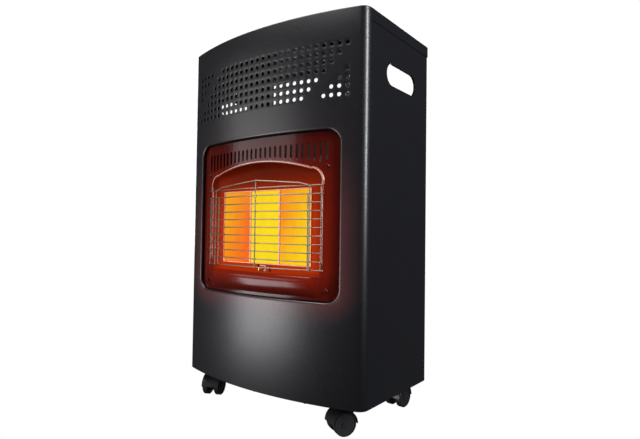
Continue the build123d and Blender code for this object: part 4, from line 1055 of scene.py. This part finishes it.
def guard_tree():
    """Makes the paths round wires with rounded bends, and adds the bowed rows."""
    sizes = ("Wire diameter", "Row pitch", "First row", "Half width", "Bow radius", "Bow centre")
    tree = GeometryTree("wire_guard", sizes)
    given = tree.given
    left = tree.add("ShaderNodeCombineXYZ", {"X": tree.math("MULTIPLY", given["Half width"], -1.0)})
    right = tree.add("ShaderNodeCombineXYZ", {"X": given["Half width"]})
    row = tree.add("GeometryNodeCurvePrimitiveLine", {"Start": left, "End": right})
    row = tree.add("GeometryNodeResampleCurve", {"Curve": row, "Count": WIRE_STEPS})
    first = tree.add("ShaderNodeCombineXYZ", {"Y": GUARD_INSET, "Z": given["First row"]})
    step = tree.add("ShaderNodeCombineXYZ", {"Z": given["Row pitch"]})
    places = tree.add("GeometryNodeMeshLine", {"Count": GUARD_ROWS, "Start Location": first, "Offset": step})
    rows = tree.add("GeometryNodeInstanceOnPoints", {"Points": places, "Instance": row})
    rows = tree.add("GeometryNodeRealizeInstances", {"Geometry": rows})
    rows = tree.bent(rows, given["Bow radius"], given["Bow centre"])
    paths = tree.add("GeometryNodeMeshToCurve", {"Mesh": given["Geometry"]})
    inputs = {"Curve": paths, "Radius": WIRE_BEND, "Count": WIRE_BEND_STEPS}
    paths = tree.add("GeometryNodeFilletCurve", inputs, mode="POLY")
    radius = tree.math("MULTIPLY", given["Wire diameter"], 0.5)
    profile = tree.add("GeometryNodeCurvePrimitiveCircle", {"Resolution": WIRE_SIDES, "Radius": radius})
    inputs = {"Curve": tree.joined(rows, paths), "Profile Curve": profile, "Fill Caps": True}
    tree.end = tree.add("GeometryNodeCurveToMesh", inputs)
    return tree


def make_guard():
    """The welded wire guard, as one mesh."""
    paths = guard_paths()
    # rows lie along the bow, so their half width is the arc's own length
    half = bow_radius * math.asin(GUARD_LEG_X / bow_radius)
    sizes = (settings().wire_across, GUARD_PITCH, GUARD_BOTTOM, half, bow_radius, bow_centre_y)
    guard_tree().run(paths, materials["chromed_wire"], *sizes)
    finish_piece(paths, "wire_guard", materials["chromed_wire"], 60.0)


# ------------ stage
def make_camera():
    data = bpy.data.cameras.new("camera")
    data.sensor_width = SENSOR_WIDTH
    data.lens = FOCAL_PIXELS / IMAGE_WIDTH * SENSOR_WIDTH
    camera = linked("camera", data)
    azimuth, pitch, roll = CAMERA_AZIMUTH, CAMERA_PITCH, CAMERA_ROLL
    level = math.cos(pitch)
    forward = Vector((-math.sin(azimuth) * level, math.cos(azimuth) * level, math.sin(pitch)))
    right = Vector((math.cos(azimuth), math.sin(azimuth), 0.0))
    up = right.cross(forward)
    turned_right = right * math.cos(roll) + up * math.sin(roll)
    turned_up = up * math.cos(roll) - right * math.sin(roll)
    turn = Matrix((turned_right, turned_up, -forward)).transposed()
    camera.matrix_world = Matrix.Translation(CAMERA_PLACE) @ turn.to_4x4()
    bpy.context.scene.camera = camera


def area_light(name, place, target, size, power, colour):
    data = bpy.data.lights.new(name, "AREA")
    data.shape = "RECTANGLE"
    data.size, data.size_y = size
    data.energy = power
    data.color = colour
    light = linked(name, data)
    aim = Vector(target) - Vector(place)
    light.matrix_world = Matrix.Translation(place) @ aim.to_track_quat("-Z", "Y").to_matrix().to_4x4()
    light.visible_camera = False


def make_world():
    """A white surround to the camera, and a dim one to everything else."""
    world = bpy.data.worlds.new("surround")
    world.use_nodes = True
    bpy.context.scene.world = world
    graph = Graph(world.node_tree)
    world.node_tree.nodes.clear()
    rays = graph.add("ShaderNodeLightPath")
    seen = graph.add("ShaderNodeBackground", {"Color": (1.0, 1.0, 1.0, 1.0), "Strength": SURROUND_SEEN})
    cast = graph.add("ShaderNodeBackground", {"Color": (0.92, 0.95, 1.0, 1.0), "Strength": SURROUND_CAST})
    both = graph.add("ShaderNodeMixShader", {0: rays.outputs["Is Camera Ray"], 1: cast, 2: seen})
    graph.add("ShaderNodeOutputWorld", {"Surface": both})


def make_floor():
    """A pale floor, lit evenly from within, that meets the white surround and shades nothing."""
    material = bpy.data.materials.new("floor")
    material.use_nodes = True
    graph = Graph(material.node_tree)
    material.node_tree.nodes.clear()
    pale = graph.add("ShaderNodeEmission", {"Color": (1.0, 1.0, 1.0, 1.0), "Strength": 1.0})
    graph.add("ShaderNodeOutputMaterial", {"Surface": pale})
    bm = bmesh.new()
    bmesh.ops.create_grid(bm, x_segments=1, y_segments=1, size=FLOOR_HALF)
    floor = mesh_object("floor", bm)
    floor.data.materials.append(material)
    for rays in ("diffuse", "glossy", "transmission", "shadow"):
        setattr(floor, "visible_" + rays, False)


class HEATER_OT_finishes(bpy.types.Operator):
    """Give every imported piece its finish"""

    bl_idname = "heater.finishes"
    bl_label = "Finishes"

    def execute(self, context):
        for material in list(bpy.data.materials):
            bpy.data.materials.remove(material)
        materials.update(finishes())
        for name, node in frame["nodes"].items():
            node.data.materials.clear()
            if name in PLAQUE_TONES:
                node.data.materials.append(glowing_plaque(name, *PLAQUE_TONES[name]))
            else:
                node.data.materials.append(materials[OWN_FINISHES.get(name, packed_slots[name])])
        return {"FINISHED"}


class HEATER_OT_front_shell(bpy.types.Operator):
    """Make the bowed front shell, with its punched holes and the collar of its opening"""

    bl_idname = "heater.front_shell"
    bl_label = "Front shell"

    def execute(self, context):
        make_front_shell()
        return {"FINISHED"}


class HEATER_OT_guard(bpy.types.Operator):
    """Make the welded wire guard"""

    bl_idname = "heater.guard"
    bl_label = "Wire guard"

    def execute(self, context):
        make_guard()
        return {"FINISHED"}


class HEATER_OT_panels(bpy.types.Operator):
    """Round off the edges of the cabinet's other panels"""

    bl_idname = "heater.panels"
    bl_label = "Panels"

    def execute(self, context):
        for node in ("side_panel_left", "side_panel_right", "top_panel", "base_tray", "rear_cover"):
            eased(node)
        return {"FINISHED"}


class HEATER_OT_fascia(bpy.types.Operator):
    """Make the enamelled fascia, with its sill and the bead of its arch"""

    bl_idname = "heater.fascia"
    bl_label = "Fascia"

    def execute(self, context):
        make_fascia()
        make_bead()
        return {"FINISHED"}


class HEATER_OT_hood(bpy.types.Operator):
    """Make the pressed hood behind the fascia"""

    bl_idname = "heater.hood"
    bl_label = "Hood"

    def execute(self, context):
        make_hood()
        return {"FINISHED"}


class HEATER_OT_stage(bpy.types.Operator):
    """Set up the floor, the surround, the lights and the camera"""

    bl_idname = "heater.stage"
    bl_label = "Studio stage"

    def execute(self, context):
        make_camera()
        make_world()
        make_floor()
        context.scene.view_settings.view_transform = "Standard"
        for light in LIGHTS:
            area_light(*light)
        return {"FINISHED"}


class HEATER_PT_panel(bpy.types.Panel):
    """The heater's steps, in order"""

    bl_idname = "HEATER_PT_panel"
    bl_label = "Gas cabinet heater"
    bl_space_type = "VIEW_3D"
    bl_region_type = "UI"
    bl_category = "Heater"

    def draw(self, context):
        for name in HeaterSettings.__annotations__:
            self.layout.prop(context.scene.heater, name)
        for step in STEPS:
            self.layout.operator(step.bl_idname)


STEPS = (
    HEATER_OT_finishes,
    HEATER_OT_front_shell,
    HEATER_OT_guard,
    HEATER_OT_panels,
    HEATER_OT_fascia,
    HEATER_OT_hood,
    HEATER_OT_stage,
)
CLASSES = (HeaterSettings, *STEPS, HEATER_PT_panel)


def register():
    for cls in CLASSES:
        bpy.utils.register_class(cls)
    bpy.types.Scene.heater = PointerProperty(type=HeaterSettings)


def unregister():
    del bpy.types.Scene.heater
    for cls in reversed(CLASSES):
        bpy.utils.unregister_class(cls)


def plain(bounds):
    return [[float(value) for value in corner] for corner in bounds]


def main():
    register()
    for step in STEPS:
        group, name = step.bl_idname.split(".")
        getattr(getattr(bpy.ops, group), name)()


if __name__ == "__main__":
    main()
